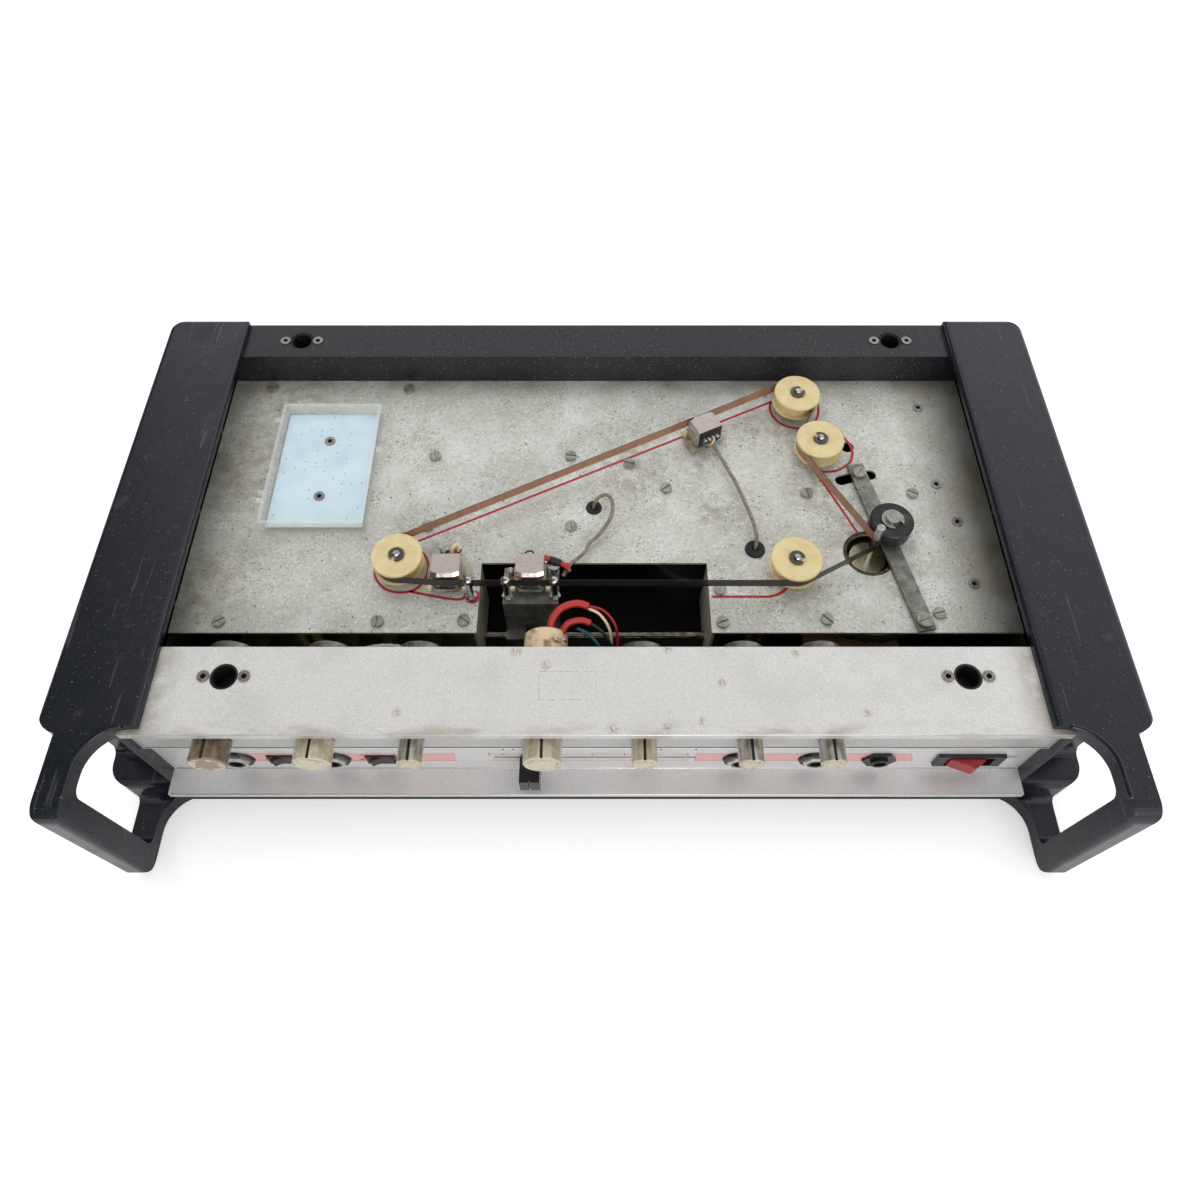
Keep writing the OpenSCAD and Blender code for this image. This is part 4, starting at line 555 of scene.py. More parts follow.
knob_looks = {
    "amber": acrylic("amber_acrylic", (0.21, 0.145, 0.085), (0.27, 0.20, 0.13), (0.11, 0.075, 0.045), 0.1),
    "yellowed": acrylic("yellowed_acrylic", (0.53, 0.475, 0.33), (0.66, 0.585, 0.40), (0.38, 0.34, 0.23),
                        0.12),
    "clear": acrylic("clear_acrylic", (0.60, 0.59, 0.53), (0.62, 0.54, 0.34), (0.24, 0.235, 0.21), 0.6)}
end_silver = finish("knob_end_silver", (0.78, 0.72, 0.62), 0.28, 0.75)
lay(mix(grain(1.6, 0.4, 0.62, 4), (0.86, 0.80, 0.70), (0.50, 0.44, 0.33)))
end_rough = finish("knob_end_rough", (0.62, 0.50, 0.42), 0.6)
lay(mix(grain(1.5, 0.4, 0.62, 5), (0.74, 0.62, 0.54), (0.46, 0.36, 0.28)))
relief(grain(0.9, 0.3, 0.7, 4), 0.2, 0.7)
pointer_black = finish("pointer_black", (0.008, 0.008, 0.008), 0.3)
lay(ramp(grain(2, 0.4, 0.7), 0, 1, 0.22, 0.4), "Roughness")
crackle = random.Random(7)


def knob_end(name, x, radius, material, body):
    """The end seen through the acrylic: a shallow cone with uneven facets."""
    spokes, rings = 26, 4
    verts = [at(x, knob_front + 0.12, knob_z)]
    for ring in range(1, rings + 1):
        for k in range(spokes):
            a = math.tau * (k + crackle.uniform(-0.2, 0.2)) / spokes
            out = radius * ring / rings
            depth = 0.12 - 0.16 * ring / rings + crackle.uniform(-0.05, 0.05) * (ring < rings)
            verts.append(at(x + out * math.cos(a), knob_front + depth, knob_z + out * math.sin(a)))
    faces = [(0, 1 + k, 1 + (k + 1) % spokes) for k in range(spokes)]
    for ring in range(rings - 1):
        for k in range(spokes):
            a, b = 1 + ring * spokes + k, 1 + ring * spokes + (k + 1) % spokes
            faces.append((a, a + spokes, b + spokes, b))
    piece(name, verts, faces, [material], body)


for number, (kind, x, across) in enumerate(knob_list, 1):
    body = f"knob_{number}"
    dress(knob_looks[kind], body)
    radius = across / 2
    knob_end(f"knob_end_{number}", x, radius - 0.75, end_rough if kind == "amber" else end_silver, body)
    pointer = [(x, knob_front + 0.3, knob_z + radius), (x, knob_back, knob_z + radius)]
    printed_line(f"knob_pointer_{number}", pointer, 1.3, pointer_black, 1, (0, 0, 1), body)

# ------------------------------------------------------------ delay slider and carriage
# The playback head stands on a bent zinc-plated carriage that slides on a brass-coloured
# rod. A black lever on its blade comes out through the slot in the panel.
arm_zinc = finish("arm_zinc", (0.33, 0.325, 0.30), 0.42, 0.6)
patina = grain(6, 0.36, 0.64, 9)
zinc_grey = mix(patina, (0.17, 0.165, 0.14), (0.34, 0.335, 0.30))
lay(mix(grain(1.1, 0.6, 0.7, 3), zinc_grey, (0.10, 0.09, 0.07)))
relief(grain(0.6, 0.3, 0.7), 0.05, 0.5)
dress(arm_zinc, "head_carriage")
rod_brass = finish("rod_brass", (0.42, 0.36, 0.26), 0.22, 1.0)
lay(mix(grain(4, 0.4, 0.62, 4, (1, 3, 3)), (0.60, 0.55, 0.45), (0.20, 0.17, 0.13)))
dress(rod_brass, "carriage_rod")
lever_black = finish("lever_black", (0.01, 0.01, 0.011), 0.22)
relief(grain(0.9, 0.3, 0.7, 2), 0.03, 0.25)
dress(lever_black, "slider_lever")

# ------------------------------------------------------------ deck
# Zinc-plated steel sheet, freckled and stained with oil, with the tape's route printed on
# it in crimson. Its left and rear edges are darker with dirt and painted shade by the
# cheek and the rear rail, and it darkens towards its right edge. Slotted screws hold what
# hangs under it.
deck_z = 89


def dots(pitch, size, share, shift=0.0):
    """Round specks on a level face; sizes in millimetres, share is how many places hold one."""
    cells = add("TexVoronoi", voronoi_dimensions="2D")
    cells.inputs["Scale"].default_value = 1000 / pitch
    join(placed((1, 1, 1), (shift, shift, 0)), cells.inputs["Vector"])
    spot = ramp(cells.outputs["Distance"], 0.35 * size / pitch, 0.55 * size / pitch, 1, 0)
    pick = add("SeparateColor")
    join(cells.outputs["Color"], pick.inputs[0])
    return times(spot, ramp(pick.outputs[0], share, share + 0.05, 1, 0))


zinc = finish("deck_zinc", (0.55, 0.56, 0.51), 0.45, 0.2)
base = mix(grain(17, 0.36, 0.66, 9), (0.58, 0.58, 0.52), (0.72, 0.735, 0.685))
base = mix(times(grain(60, 0.42, 0.66, 5, shift=3), 0.5), base, (0.49, 0.485, 0.43))
base = mix(times(grain(2.8, 0.52, 0.68, 6, shift=8), 0.45), base, (0.38, 0.375, 0.32))
base = mix(times(grain(1.4, 0.56, 0.66, 3, shift=2), 0.5), base, (0.88, 0.90, 0.87))
# Along the left and rear edges, beside the left cheek and the rear rail, the deck is darker in patches:
# partly dirt, partly painted shade.
dirt_and_shade = mix(grain(9, 0.35, 0.65, 8), (0.30, 0.28, 0.22), (0.15, 0.13, 0.095))
edge_patches = grain(26, 0.30, 0.66, 7, shift=5)
for axis, clear, full, depth in (("X", -172, -226, 0.6), ("Y", 114, 130, 0.8)):
    edge = times(side_of(axis, clear, full), edge_patches)
    base = mix(times(edge, depth), base, dirt_and_shade)
# Darker towards the right edge, in patches.
base = mix(side_of("X", 186, 222), base, mix(edge_patches, (0.26, 0.27, 0.26), (0.17, 0.15, 0.11)))
# Oil stains: middle, reach and depth of tone.
stains = (((150, 18, deck_z), 30, 0.6), ((105, 92, deck_z), 28, 0.5), ((132, 48, deck_z), 30, 0.5),
          ((112, -20, deck_z), 26, 0.6), ((-205, 60, deck_z), 60, 0.45), ((-215, -20, deck_z), 44, 0.4),
          ((-90, 5, deck_z), 26, 0.4), ((172, -8, deck_z), 26, 0.5), ((-190, 120, deck_z), 50, 0.5),
          ((20, 66, deck_z), 34, 0.5), ((70, 30, deck_z), 22, 0.5), ((25, 44, deck_z), 12, 0.6),
          ((60, 66, deck_z), 16, 0.5), ((120, 120, deck_z), 36, 0.4), ((150, 70, deck_z), 22, 0.4))
for place, reach, depth in stains:
    patch = times(near(place, reach * 0.1, reach), grain(6, 0.42, 0.62, 8, shift=place[0]))
    base = mix(times(patch, depth), base, (0.24, 0.21, 0.145))
# Freckles come in loose crowds, most of them finer than a millimetre.
crowd = grain(24, 0.40, 0.62, 3, shift=11)
for pitch, low, dark, shift in ((1.1, 0.60, 0.75, 1), (1.9, 0.64, 0.8, 4), (3.6, 0.68, 0.6, 9)):
    freckles = times(grain(pitch, low, low + 0.04, 3, shift=shift), ramp(crowd, 0, 1, 0.25, 1))
    base = mix(times(freckles, dark), base, (0.15, 0.14, 0.11))
base = mix(times(dots(11, 1.3, 0.16), 0.8), base, (0.10, 0.09, 0.07))
base = mix(side_of("Z", 88.95, 88.7), base, (0.46, 0.43, 0.33))
lay(base)
lay(ramp(crowd, 0, 1, 0.42, 0.58), "Roughness")
relief(grain(1.1, 0.3, 0.7), 0.06, 0.5)
dress(zinc, "deck_plate")

crimson_ink = ink("route_ink", (0.42, 0.006, 0.022), (0.36, 0.10, 0.10))
route = {
    "rear": ([(-101, 8.4), (-56, 30.4), (1, 58.5), (53, 84), (110.4, 112.2)], 1),
    "round_1": ([(109.8, 111.9), (108.6, 106), (110.2, 99.8), (114.4, 94.2), (121.3, 91), (129, 91),
                 (135.4, 96), (138.4, 103), (139.2, 110)], 8),
    "round_2": ([(151, 84), (154.4, 78), (155, 71.4), (152.2, 64.2), (144.9, 58.8), (137.6, 57.4),
                 (131, 59)], 8),
    "to_capstan": ([(128.4, 62.2), (131.2, 56.4), (138.4, 40.3), (149.6, 13.5)], 3),
    "from_capstan": ([(143.4, -5.4), (136.3, -7.9), (126, -13)], 3),
    "round_4": ([(105.7, -21.6), (101.2, -25.3), (95.3, -27.5), (90, -27.6), (63.6, -27.6)], 6),
    "round_3": ([(-123, -7), (-123, -12.4), (-121.3, -17.2), (-115.6, -22.9), (-108, -24.9), (-101, -23.8),
                 (-96.8, -20.2), (-93.9, -13.8), (-94, -6.4), (-97.1, 0), (-102.5, 4.2)], 8),
    "record": ([(-102.5, -24.2), (-88.1, -27.4), (-76.6, -29.3), (-72.6, -28.5), (-71.2, -25.6)], 6),
    "post_ring": ([(-70.9, -27.2), (-69.7, -30.2), (-67, -31.2), (-64.9, -29.6), (-64.7, -25.4),
                   (-67.5, -24.4), (-70.4, -25)], 6)}
for part, (spots, steps) in route.items():
    printed_line("route_" + part, [(x, y, deck_z) for x, y in spots], 1.6, crimson_ink, steps)

plated = finish("screw_plate", (0.5, 0.48, 0.44), 0.36, 0.7)
lay(mix(grain(3, 0.4, 0.7, 5), (0.44, 0.44, 0.39), (0.26, 0.255, 0.215)))
relief(grain(0.5, 0.3, 0.7, 2), 0.04, 0.4)
dress(plated, "deck_screws", "arm_pins")
rivet_metal = finish("rivet_metal", (0.42, 0.38, 0.36), 0.32, 0.8)
lay(mix(grain(1, 0.4, 0.7, 3), (0.40, 0.38, 0.36), (0.17, 0.15, 0.13)))
dress(rivet_metal, "hollow_rivets")
grommet_rubber = finish("grommet_rubber", (0.009, 0.009, 0.009), 0.42)
relief(grain(0.8, 0.3, 0.7, 2), 0.04, 0.3)
dress(grommet_rubber, "grommets")

# ------------------------------------------------------------ motor, flywheel and capstan
# A small motor under the deck turns a brass flywheel by a belt. The polished capstan
# stands on the flywheel, which shows its turned face in the round hole.
capstan = (154, 0.3)
turned_brass = finish("flywheel_brass", (0.5, 0.42, 0.22), 0.25, 1.0)
# Bright and dark rays by angle round the capstan's axis: painted sheen of the turned face.
swing = add("TexGradient", gradient_type="RADIAL")
join(placed((1, 1, 1), (-capstan[0] / 1000, -capstan[1] / 1000, 0)), swing.inputs[0])
around = add("TexNoise", noise_dimensions="1D")
around.inputs["Scale"].default_value = 7
join(swing.outputs["Fac"], around.inputs["W"])
painted_sheen_rays = ramp(around.outputs["Fac"], 0.38, 0.6)
lay(mix(painted_sheen_rays, (0.46, 0.42, 0.24), (0.86, 0.82, 0.58)))
lay(ramp(painted_sheen_rays, 0, 1, 0.42, 0.3), "Roughness")
dress(turned_brass, "flywheel", "motor_pulley")
polished = finish("polished_steel", (0.72, 0.71, 0.7), 0.14, 1.0)
lay(mix(grain(1.6, 0.4, 0.7), (0.62, 0.61, 0.60), (0.32, 0.31, 0.29)))
dress(polished, "capstan_shaft", "pulley_posts", "guide_posts", "carriage_posts")
cast_metal = finish("cast_metal", (0.045, 0.045, 0.045), 0.6, 0.3)
relief(grain(1.6, 0.3, 0.7), 0.1, 0.5)
dress(cast_metal, "capstan_bearing", "drive_motor")
belt_rubber = finish("belt_rubber", (0.015, 0.015, 0.015), 0.7)
relief(grain(1, 0.3, 0.7), 0.05, 0.3)
dress(belt_rubber, "drive_belt")
# A dark ring round the capstan hole is painted shadow at its edge.
hole_shadow_paint = finish("hole_shadow_ring", (0.03, 0.027, 0.02), 0.5, 0.2)
lay(mix(grain(2, 0.4, 0.7), (0.025, 0.022, 0.016), (0.12, 0.10, 0.07)))
hole_edge = 13.7
circle = [(capstan[0] + hole_edge * math.cos(a), capstan[1] + hole_edge * math.sin(a), deck_z + 0.02)
          for a in (math.tau * k / 40 for k in range(41))]
printed_line("capstan_hole_painted_shadow", circle, 2.0, hole_shadow_paint, 1)

# ------------------------------------------------------------ pulleys
# Four turned nylon pulleys, cream, slightly translucent and yellowed, on steel posts
# with dark spring clips.
nylon = finish("cream_nylon", (0.80, 0.67, 0.38), 0.38, Subsurface_Weight=0.3,
               Subsurface_Radius=(0.005, 0.0035, 0.0015), Subsurface_Scale=1.0)
aged = mix(grain(8, 0.35, 0.7, 5), (0.76, 0.64, 0.36), (0.68, 0.53, 0.25))
lay(mix(grain(1.6, 0.64, 0.76, 3), aged, (0.52, 0.38, 0.17)))
relief(grain(0.45, 0.3, 0.7, 2, (1, 1, 0.2)), 0.03, 0.4)
dress(nylon, "pulley_1", "pulley_2", "pulley_3", "pulley_4")
spring_steel = finish("spring_steel", (0.12, 0.11, 0.10), 0.3, 0.9)
lay(ramp(grain(1, 0.4, 0.7), 0, 1, 0.2, 0.45), "Roughness")
dress(spring_steel, "pulley_clips")

# ------------------------------------------------------------ pinch arm and roller
# A flat zinc-plated steel bar on a shoulder screw, with a black rubber roller that turns
# on a steel pin.
dress(arm_zinc, "pinch_arm")
roller_rubber = finish("roller_rubber", (0.014, 0.014, 0.015), 0.42)
worn_ring = grain(5, 0.5, 0.7, 5)
lay(mix(worn_ring, (0.012, 0.012, 0.013), (0.05, 0.048, 0.045)))
relief(grain(0.7, 0.3, 0.7, 3), 0.05, 0.4)
dress(roller_rubber, "pinch_roller")

# ------------------------------------------------------------ heads
# Each head is a plated can with a polished, bevelled nose towards the tape, on a
# yellow-passivated bracket with a small folded foot and pale insulators. The backs are
# black, with tinned tags and short coloured wires.
head_low, head_high, foot_z, foot_top = 94.3, 106.7, 92.9, 93.7
can = finish("head_can", (0.56, 0.50, 0.46), 0.34, 0.55)
brushed = grain(1.1, 0.35, 0.65, 5, (0.3, 1, 1))
lay(mix(brushed, (0.60, 0.53, 0.49), (0.50, 0.44, 0.405)))
relief(brushed, 0.02, 0.2)
nose_chrome = finish("head_nose", (0.76, 0.74, 0.72), 0.16, 1.0)
lay(mix(grain(2.4, 0.4, 0.7, 4), (0.85, 0.83, 0.80), (0.42, 0.38, 0.34)))
back_black = finish("head_back", (0.012, 0.012, 0.012), 0.5)
relief(grain(1, 0.3, 0.7), 0.08, 0.5)
passivated = finish("yellow_zinc", (0.5, 0.44, 0.3), 0.42, 0.6)
lay(mix(grain(5, 0.4, 0.66, 6), (0.58, 0.54, 0.42), (0.36, 0.30, 0.19)))
dress(passivated, "head_brackets")
insulator = finish("pale_insulator", (0.66, 0.68, 0.40), 0.4)
lay(mix(grain(2, 0.4, 0.7), (0.72, 0.74, 0.48), (0.56, 0.50, 0.26)))
# Each head: the middle of its face, its turn in degrees and the body that it rides on.
heads = {"record_head": ((-81, -25.1), 180, "chassis"), "playback_head": ((-35.7, -25.1), 180, "carriage"),
         "erase_head": ((61.52, 88.09), 26.64, "chassis")}


def beside(place, turn, spots):
    """Points given from a head's face (along the tape, outwards, up), in the unit's frame."""
    c, s = math.cos(math.radians(turn)), math.sin(math.radians(turn))
    return [(place[0] + c * x - s * y, place[1] + s * x + c * y, z) for x, y, z in spots]


def rectangle(x, half, back, front):
    """An outline beside a head, half a width to each side of x."""
    return [(x - half, back), (x + half, back), (x + half, front), (x - half, front)]


def prism(name, outline, low, high, materials, place, turn, body, inset=0, looks=None):
    """An upright block from an outline beside a head; its upper front edge may slope in."""
    n = len(outline)
    front = max(y for _, y in outline)
    spots = [(x, y, low) for x, y in outline] + [(x, y, high - 0.9 * inset) for x, y in outline]
    if inset:
        spots += [(x * 0.97, y - inset if y > front - 2 else y + 0.15, high) for x, y in outline]
    verts = [Vector(p) / 1000 for p in beside(place, turn, spots)]
    layers = 2 if inset else 1
    faces = [tuple(reversed(range(n)))]
    faces += [(i + n * k, (i + 1) % n + n * k, (i + 1) % n + n * (k + 1), i + n * (k + 1))
              for k in range(layers) for i in range(n)]
    faces.append(tuple(range(n * layers, n * layers + n)))
    return piece(name, verts, faces, materials, body, looks)


can_outline = [(-7.75, -14.5), (7.75, -14.5), (7.75, -1.7), (4.2, -0.45), (-4.2, -0.45), (-7.75, -1.7)]
# One look for each face: bottom, the six walls twice over, top. 0 can, 1 chrome, 2 black back.
can_looks = [2] + 2 * [2, 0, 1, 1, 1, 0] + [0]
for name, (place, turn, body) in heads.items():
    shell = prism(name + "_can", can_outline, head_low, head_high, [can, nose_chrome, back_black],
                  place, turn, body, inset=1.6, looks=can_looks)
    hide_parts(name)
    dress(can, name)
    for i, side in enumerate((-1, 1)):
        prism(f"{name}_insulator_{i + 1}", rectangle(side * 9.6, 1.2, -3, 1.2), foot_z, 95.2, [insulator],
              place, turn, body)
        prism(f"{name}_cheek_{i + 1}", rectangle(side * 8.15, 0.3, -12, -2.6), 93.2, 99.5, [passivated],
              place, turn, body)
    foot = [(-8.6, -3), (8.6, -3), (6.2, 1.6), (-6.2, 1.6)]
    prism(name + "_foot", foot, foot_z, foot_top, [nose_chrome], place, turn, body)
    prism(name + "_foot_lip", rectangle(0, 6.2, 0.9, 1.6), foot_top, 95.4, [nose_chrome], place, turn, body)
    for i, x in enumerate((-4.2, -1.4, 1.4, 4.2)):
        tag = beside(place, turn, [(x, -14.3, 100), (x, -16, 100.2), (x, -16.8, 101)])
        radius, metal, sides = (0.85, cable_white, 8) if name == "erase_head" else (0.45, tinned, 6)
        wire(f"{name}_tag_{i + 1}", tag, radius, metal, body, sides, 2)

# Wires behind the heads: points are along the tape, outwards from the face, and up.
sleeve_black = finish("sleeve_black", (0.014, 0.013, 0.012), 0.4)
relief(grain(1, 0.3, 0.7), 0.05, 0.3)
red_bead = finish("red_bead", (0.75, 0.02, 0.02), 0.3)
orange_wire = finish("orange_wire", (0.62, 0.20, 0.04), 0.4)
copper_wire = finish("copper_wire", (0.42, 0.12, 0.07), 0.35, 0.3)
head_wires = {
    "record_head": (
        ("sleeve", 2.3, sleeve_black, [(-6, -16.5, 98.5), (-3, -17.6, 99.5), (0, -18.4, 99.6), (4, -18, 98)]),
        ("sleeve_end", 1.1, cable_grey, [(2, -18, 101), (4.6, -20, 103), (6.2, -22.6, 104.5)]),
        ("cream_loop", 1.2, cream_wire, [(-2, -17.4, 101), (-3, -20, 104), (-5.4, -21.4, 105),
                                         (-7, -19.6, 103)]),
        ("crimson", 0.6, crimson_wire, [(3, -16.4, 101.5), (0, -16.6, 102.2), (-4, -17, 102),
                                        (-6.8, -18, 102.6), (-7.2, -20, 103.4)])),
    "playback_head": (
        ("bead", 1.3, red_bead, [(4.8, -16, 100.6), (4.8, -16.8, 102.4)]),
        ("blue_loop", 0.55, blue_wire, [(3.2, -15.4, 100.8), (2.6, -17.4, 103), (-0.6, -18, 103.4),
                                        (-1.6, -16.6, 101.8), (-0.4, -15.6, 100.6)]),
        ("copper_1", 0.5, copper_wire, [(1.4, -16, 100.6), (-2, -16.8, 101.6), (-6, -17, 101)]),
        ("copper_2", 0.5, copper_wire, [(-1.4, -16, 100.6), (-4, -16.2, 101), (-7, -16.4, 100)]),
        ("sleeve_1", 1.6, sleeve_red, [(-6.4, -16.2, 100), (-9, -15.8, 99.6), (-11, -15.2, 99)]),
        ("clip", 2.1, sleeve_black, [(-10.4, -15.3, 99.2), (-16.4, -13.8, 97.6)]),
        ("sleeve_2", 1.6, sleeve_red, [(-16, -13.9, 97.8), (-18.6, -12.8, 96.8), (-20.4, -11.4, 95.6)]),
        ("side_post", 1.7, can, [(10.7, -8, foot_z), (10.7, -8, 96), (10.7, -8, 100.4)]),
        ("side_bush", 1.1, copper_wire, [(9.4, -4.6, 93), (9.4, -4.6, 96), (9.4, -4.6, 97.6)]),
        ("tail", 1.15, copper_wire, [(-20.4, -11.4, 95.6), (-21.4, -10, 94.8)])),
    "erase_head": (
        ("white", 0.6, cable_white, [(1.6, -15, 100.5), (1.2, -17.2, 100.4), (-0.6, -18.6, 99.4),
                                     (-1.8, -18.8, 98.6)]),
        ("orange", 0.65, orange_wire, [(-1.8, -18.8, 98.6), (-2.6, -18.4, 98.2), (-3.2, -17.6, 98)]),
        ("blue", 0.6, blue_wire, [(-5, -15, 101), (-6.2, -17.4, 100.4), (-5.6, -19.4, 98.6),
                                  (-4, -19, 97.8)]))}
for head, wires in head_wires.items():
    place, turn, body = heads[head]
    for part, radius, sleeve, spots in wires:
        wire(f"{head}_{part}", beside(place, turn, spots), radius, sleeve, body)

# ------------------------------------------------------------ leads
# Grey-brown screened leads run from the heads into two rubber grommets. The playback
# head's lead is made on no body.
lead_grey = finish("lead_grey", (0.22, 0.185, 0.15), 0.4)
lay(mix(grain(2, 0.4, 0.7), (0.27, 0.235, 0.19), (0.15, 0.125, 0.10)))
relief(grain(1, 0.3, 0.7, 2), 0.05, 0.3)
fixed_leads = {
    "erase": [(68.6, 73.7, 98.5), (70.4, 70.3, 97.6), (72.9, 66.5, 95), (75.6, 61.5, 93.9), (79, 52.5, 94.2),
              (81.5, 45.5, 95), (85, 32.5, 96), (88.3, 19.5, 96.5), (90, 10.5, 96), (90.4, 5.9, 94),
              (90, 3.3, 90.5), (89.8, 2.8, 85)],
    "record": [(-81, -9.3, 98.6), (-80.7, -6.1, 99.2), (-80, -2.9, 98), (-79.2, 0.1, 95), (-79, 1.3, 92),
               (-79, 1.3, 89.25)]}
for part, spots in fixed_leads.items():
    lead = wire(part + "_lead", spots, 1.1, lead_grey, sides=10)
    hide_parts("head_leads")
moving_spots = [(-1.2, 31.2, 85), (-1.2, 31.4, 91), (1, 33.5, 95.5), (6, 35, 97), (9.4, 30, 96.6),
                (8.4, 20.5, 95.4), (2.5, 11, 93.6), (-3.6, 4.5, 93), (-5.6, -0.5, 93.4), (-9, -4.9, 93.8),
                (-13.5, -8.9, 93.6), (-16.4, -13.1, 92.6), (-18.2, -16.5, 92)]
moving_lead = wire("moving_lead", moving_spots, 1.1, lead_grey, None, sides=10)
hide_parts("playback_lead")
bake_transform(moving_lead)
dress(lead_grey, "head_leads", "playback_lead")

# ------------------------------------------------------------ tape loop
# Quarter-inch tape, stood on edge: matt brown oxide on the inner side, a dark glossy
# backing on the outer side.
oxide = finish("tape_oxide", (0.30, 0.15, 0.10), 0.34)
lay(mix(grain(5, 0.3, 0.7, 3, (1, 1, 0.2)), (0.44, 0.215, 0.14), (0.34, 0.16, 0.10)))
backing = finish("tape_backing", (0.017, 0.015, 0.014), 0.28)
lay(mix(grain(3, 0.3, 0.7, 3), (0.014, 0.013, 0.012), (0.03, 0.026, 0.024)))
# The loop in order: the middle of each round and the radius of the tape there.
on_pulley = 12.65
rounds = [((-108.2, -10.7), -on_pulley), ((122.8, 105.2), -on_pulley), ((132.2, 69.5), on_pulley),
          ((164.366, 11.417), 12.45), (capstan, -2.7), ((108.8, -12.9), -on_pulley), ((-81, -5.1), -20.45)]


def run_angle(a, b):
    """Heading of the straight run between two rounds; a minus radius is passed clockwise."""
    dx, dy = b[0][0] - a[0][0], b[0][1] - a[0][1]
    return math.atan2(dy, dx) - math.asin((b[1] - a[1]) / math.hypot(dx, dy))


def tape_line(side):
    """The loop's path, side millimetres to the left of its middle."""
    line = []
    for i, (centre, radius) in enumerate(rounds):
        start = run_angle(rounds[i - 1], rounds[i])
        stop = run_angle(rounds[i], rounds[(i + 1) % len(rounds)])
        turn = (stop - start) % math.tau if radius > 0 else -((start - stop) % math.tau)
        steps = max(2, math.ceil(abs(turn) / math.radians(6)))
        for k in range(steps + 1):
            a = start + turn * k / steps
            line.append((centre[0] + (radius - side) * math.sin(a),
                         centre[1] - (radius - side) * math.cos(a)))
    return line


tape_low, tape_top, half_film = 97.325, 103.675, 0.15
verts = [at(x, y, z) for side in (half_film, -half_film) for z in (tape_low, tape_top)
         for x, y in tape_line(side)]
count = len(verts) // 4
faces, sides = [], []
for i in range(count):
    j = (i + 1) % count
    faces += [(i, i + count, j + count, j), (i + 2 * count, j + 2 * count, j + 3 * count, i + 3 * count),
              (i + count, i + 3 * count, j + 3 * count, j + count), (i, j, j + 2 * count, i + 2 * count)]
    sides += [0, 1, 0, 0]
tape = piece("tape", verts, faces, [backing, oxide], "chassis", sides)
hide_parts("tape_loop")
dress(backing, "tape_loop")

# ------------------------------------------------------------ spare-tape tray
# A clear polystyrene tray, yellowed at its rim and cracked from its two rivets, over a
# pale blue card.
tray_place, tray_floor, tray_rim = (-161.2, 58), 91.0, 99.4
clear = finish("tray_clear", (0.90, 0.88, 0.74), 0.12, Coat_Weight=0.3)
rim = side_of("Z", tray_rim, tray_rim + 0.5)
wall = side_of("Z", tray_floor, tray_floor + 0.6)
lay(mix(rim, (0.84, 0.86, 0.84), (0.80, 0.74, 0.56)))
seen_through = mix(rim, (0.30, 0.30, 0.30), (0.72, 0.72, 0.72))
lay(mix(wall, (0.10, 0.10, 0.10), seen_through), "Alpha")
relief(grain(2, 0.3, 0.7), 0.06, 0.25)
dress(clear, "spare_tape_tray")
card = finish("blue_card", (0.60, 0.76, 0.83), 0.7)
tone = mix(grain(16, 0.4, 0.7, 5), (0.64, 0.79, 0.86), (0.56, 0.71, 0.79))
tone = mix(times(dots(6, 0.9, 0.2), 0.8), tone, (0.10, 0.12, 0.12))
lay(tone)
dress(card, "tray_card")
crack_white = finish("crack_white", (0.85, 0.86, 0.84), 0.3)
lay(ramp(grain(1, 0.4, 0.6), 0, 1, 0.45, 0.95), "Alpha")
for side in (-1, 1):
    for i, (turn, reach) in enumerate(((20, 9), (75, 7), (128, 11), (190, 8), (250, 10), (310, 6))):
        a = math.radians(turn + 17 * side)
        c, s, y = math.cos(a), math.sin(a), tray_place[1] + 20.35 * side
        crack = [(tray_place[0] + out * c + bend * s, y + out * s - bend * c, tray_floor + 0.1)
                 for out, bend in ((2.6, 0), (reach * 0.6, 0.7), (reach, -0.3))]
        printed_line(f"tray_crack_{side + 2}_{i + 1}", crack, 0.55, crack_white, 3)

# ------------------------------------------------------------ rails and latch cups
# The front rail is a folded sheet in silver hammer lacquer, grimy at its ends and painted
# darker there as shade where the cheeks overhang it. The rear rail is painted black. Black
# cups close the lid's latch holes from below.
rail_silver = finish("rail_silver", (0.6, 0.59, 0.57), 0.42, 0.25)
sparkle = grain(0.45, 0.36, 0.68, 2)
base = mix(sparkle, (0.62, 0.61, 0.59), (0.84, 0.83, 0.805))
base = mix(times(grain(26, 0.50, 0.8, 9), 0.3), base, (0.42, 0.40, 0.36))
base = mix(times(grain(1.2, 0.62, 0.70, 3), 0.3), base, (0.90, 0.89, 0.87))
rail_z = 111
# Each end is darker and browner: grime, and painted shade where the cheek overhangs the rail.
for end in (-1, 1):
    grime_and_shade = times(side_of("X", end * 204, end * 224), grain(9, 0.30, 0.52, 8, shift=end))
    base = mix(times(grime_and_shade, 0.8), base, (0.26, 0.22, 0.16))
front_dirt = times(side_of("Y", -107, -114), grain(22, 0.48, 0.66, 8, (1, 3, 1)))
base = mix(times(front_dirt, 0.55), base, (0.36, 0.29, 0.20))
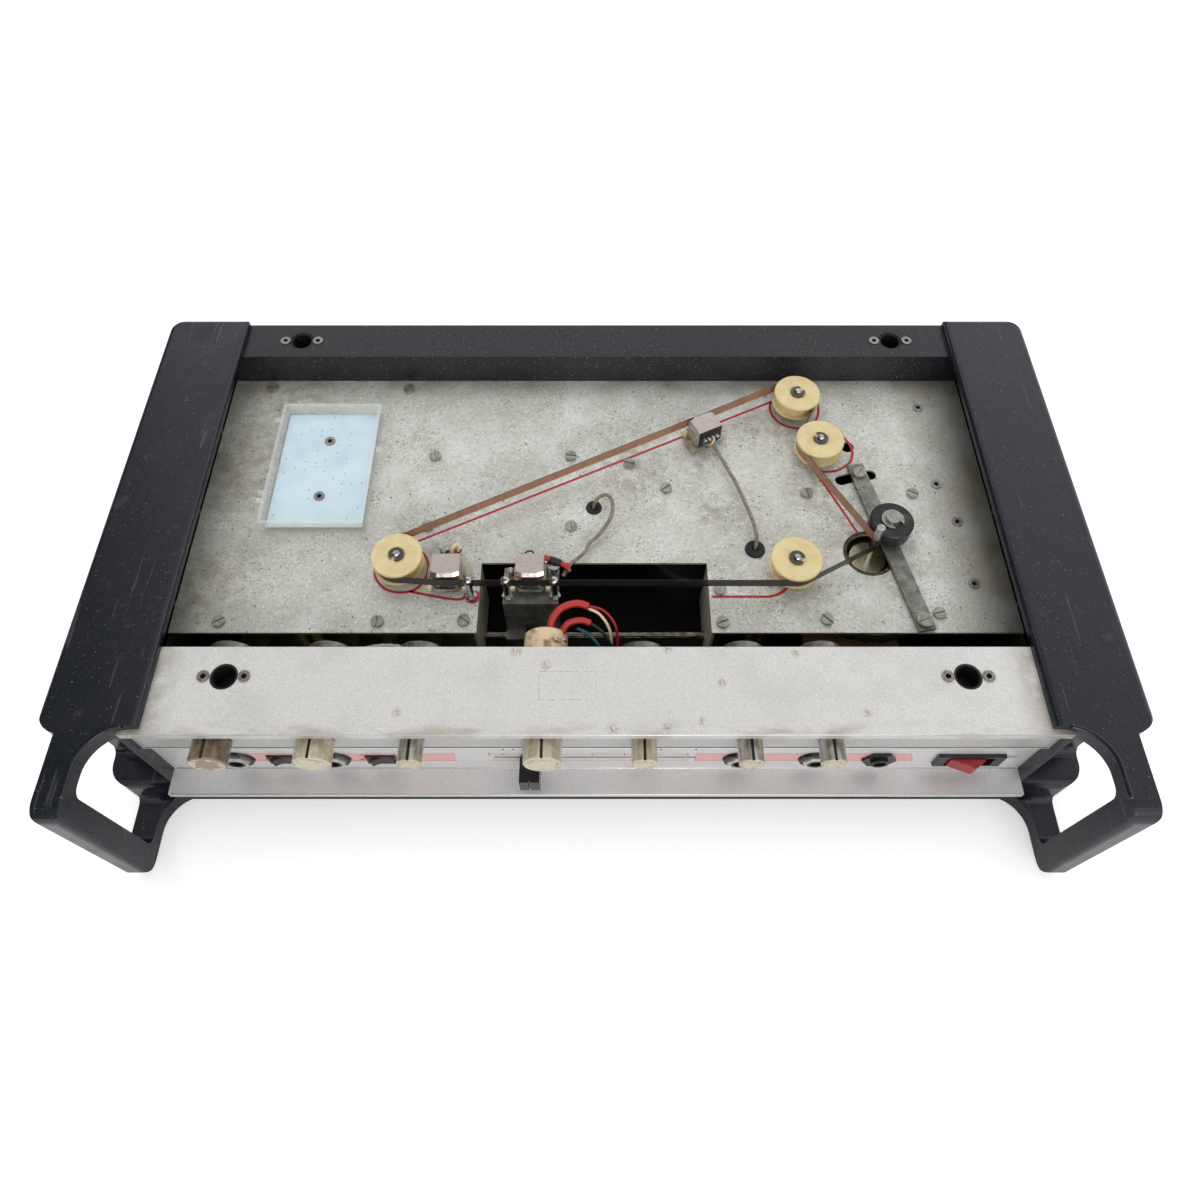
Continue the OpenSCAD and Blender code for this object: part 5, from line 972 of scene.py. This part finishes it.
# Rust marks: X, Y and reach.
marks = ((62, -88, 3), (-25, -78.6, 3.5), (100, -72, 3), (-40, -71, 4), (36, -70, 3), (8, -112, 4),
         (34, -111, 3), (51, -108, 2.5), (131, -104, 3), (-96, -104, 3))
for x, y, reach in marks:
    spot = times(near((x, y, rail_z), reach * 0.1, reach), grain(1.4, 0.36, 0.60, 6, shift=x))
    base = mix(times(spot, 0.8), base, (0.30, 0.17, 0.07))
lay(base)
lay(ramp(sparkle, 0, 1, 0.52, 0.34), "Roughness")
relief(grain(0.4, 0.3, 0.7, 2), 0.05, 0.5)
dress(rail_silver, "front_rail")
faint_scratch = finish("faint_scratch", (0.5, 0.49, 0.46), 0.4, 0.3)
lay(ramp(grain(2, 0.4, 0.6), 0, 1, 0.05, 0.55), "Alpha")
square = [(-28, -97, rail_z), (0, -97, rail_z), (0, -82, rail_z), (-28, -82, rail_z), (-28, -97, rail_z)]
printed_line("rail_scratch", square, 0.4, faint_scratch, 1)
wire("rail_front_bead", [(x, -114.8, rail_z - 0.35) for x in (-228, 228)], 0.4, edge_metal, steps=1)
dress(rail_black, "rear_rail")
cup_black = finish("cup_black", (0.008, 0.008, 0.008), 0.5)
relief(grain(1, 0.3, 0.7, 2), 0.04, 0.3)
dress(cup_black, "latch_cups")

# ------------------------------------------------------------ end cheeks
# Two glossy blue-black mouldings with carrying handles, scratched on the arms, with a
# rolled bead along the inner edge. They hook over and under the chassis.
moulding = finish("cheek_moulding", (0.006, 0.008, 0.013), 0.2, Specular_IOR_Level=0.6,
                  Specular_Tint=(0.93, 0.95, 1, 1))
scuffs = grain(11, 0.62, 0.72, 8, (1, 1, 0.35))
specks = grain(1.1, 0.66, 0.74, 3)
strokes = grain(5, 0.66, 0.70, 4, (1.6, 0.12, 1))
worn = mix(scuffs, (0.006, 0.008, 0.013), (0.022, 0.024, 0.03))
worn = mix(times(strokes, 0.5), worn, (0.07, 0.07, 0.075))
lay(mix(times(specks, 0.8), worn, (0.15, 0.15, 0.155)))
haze = grain(22, 0.3, 0.75, 6)
lay(ramp(haze, 0, 1, 0.14, 0.32), "Roughness")
relief(grain(3.8, 0.2, 0.8, 2), 0.06, 0.35)
dress(moulding, "left_cheek", "right_cheek")
for name in ("left_cheek", "right_cheek"):
    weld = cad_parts[name].modifiers.new("weld", "WELD")
    weld.merge_threshold = 0.00002
    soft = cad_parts[name].modifiers.new("moulded_edges", "BEVEL")
    soft.width = 0.0011
    soft.segments = 3
    soft.limit_method = "ANGLE"
    soft.angle_limit = math.radians(32)
    soft.harden_normals = True
bead_z, bend = 115.2, 21
for side, name in ((-1, "left"), (1, "right")):
    flare = [(side * (222.3 + bend * math.sin(a)), -133 + bend * math.cos(a), bead_z)
             for a in (math.radians(d) for d in range(8, 91, 9))]
    flare += [(side * 243.3, y, bead_z) for y in (-138, -147)]
    wire("cheek_bead_" + name, flare, 1.3, moulding, sides=10, steps=3)
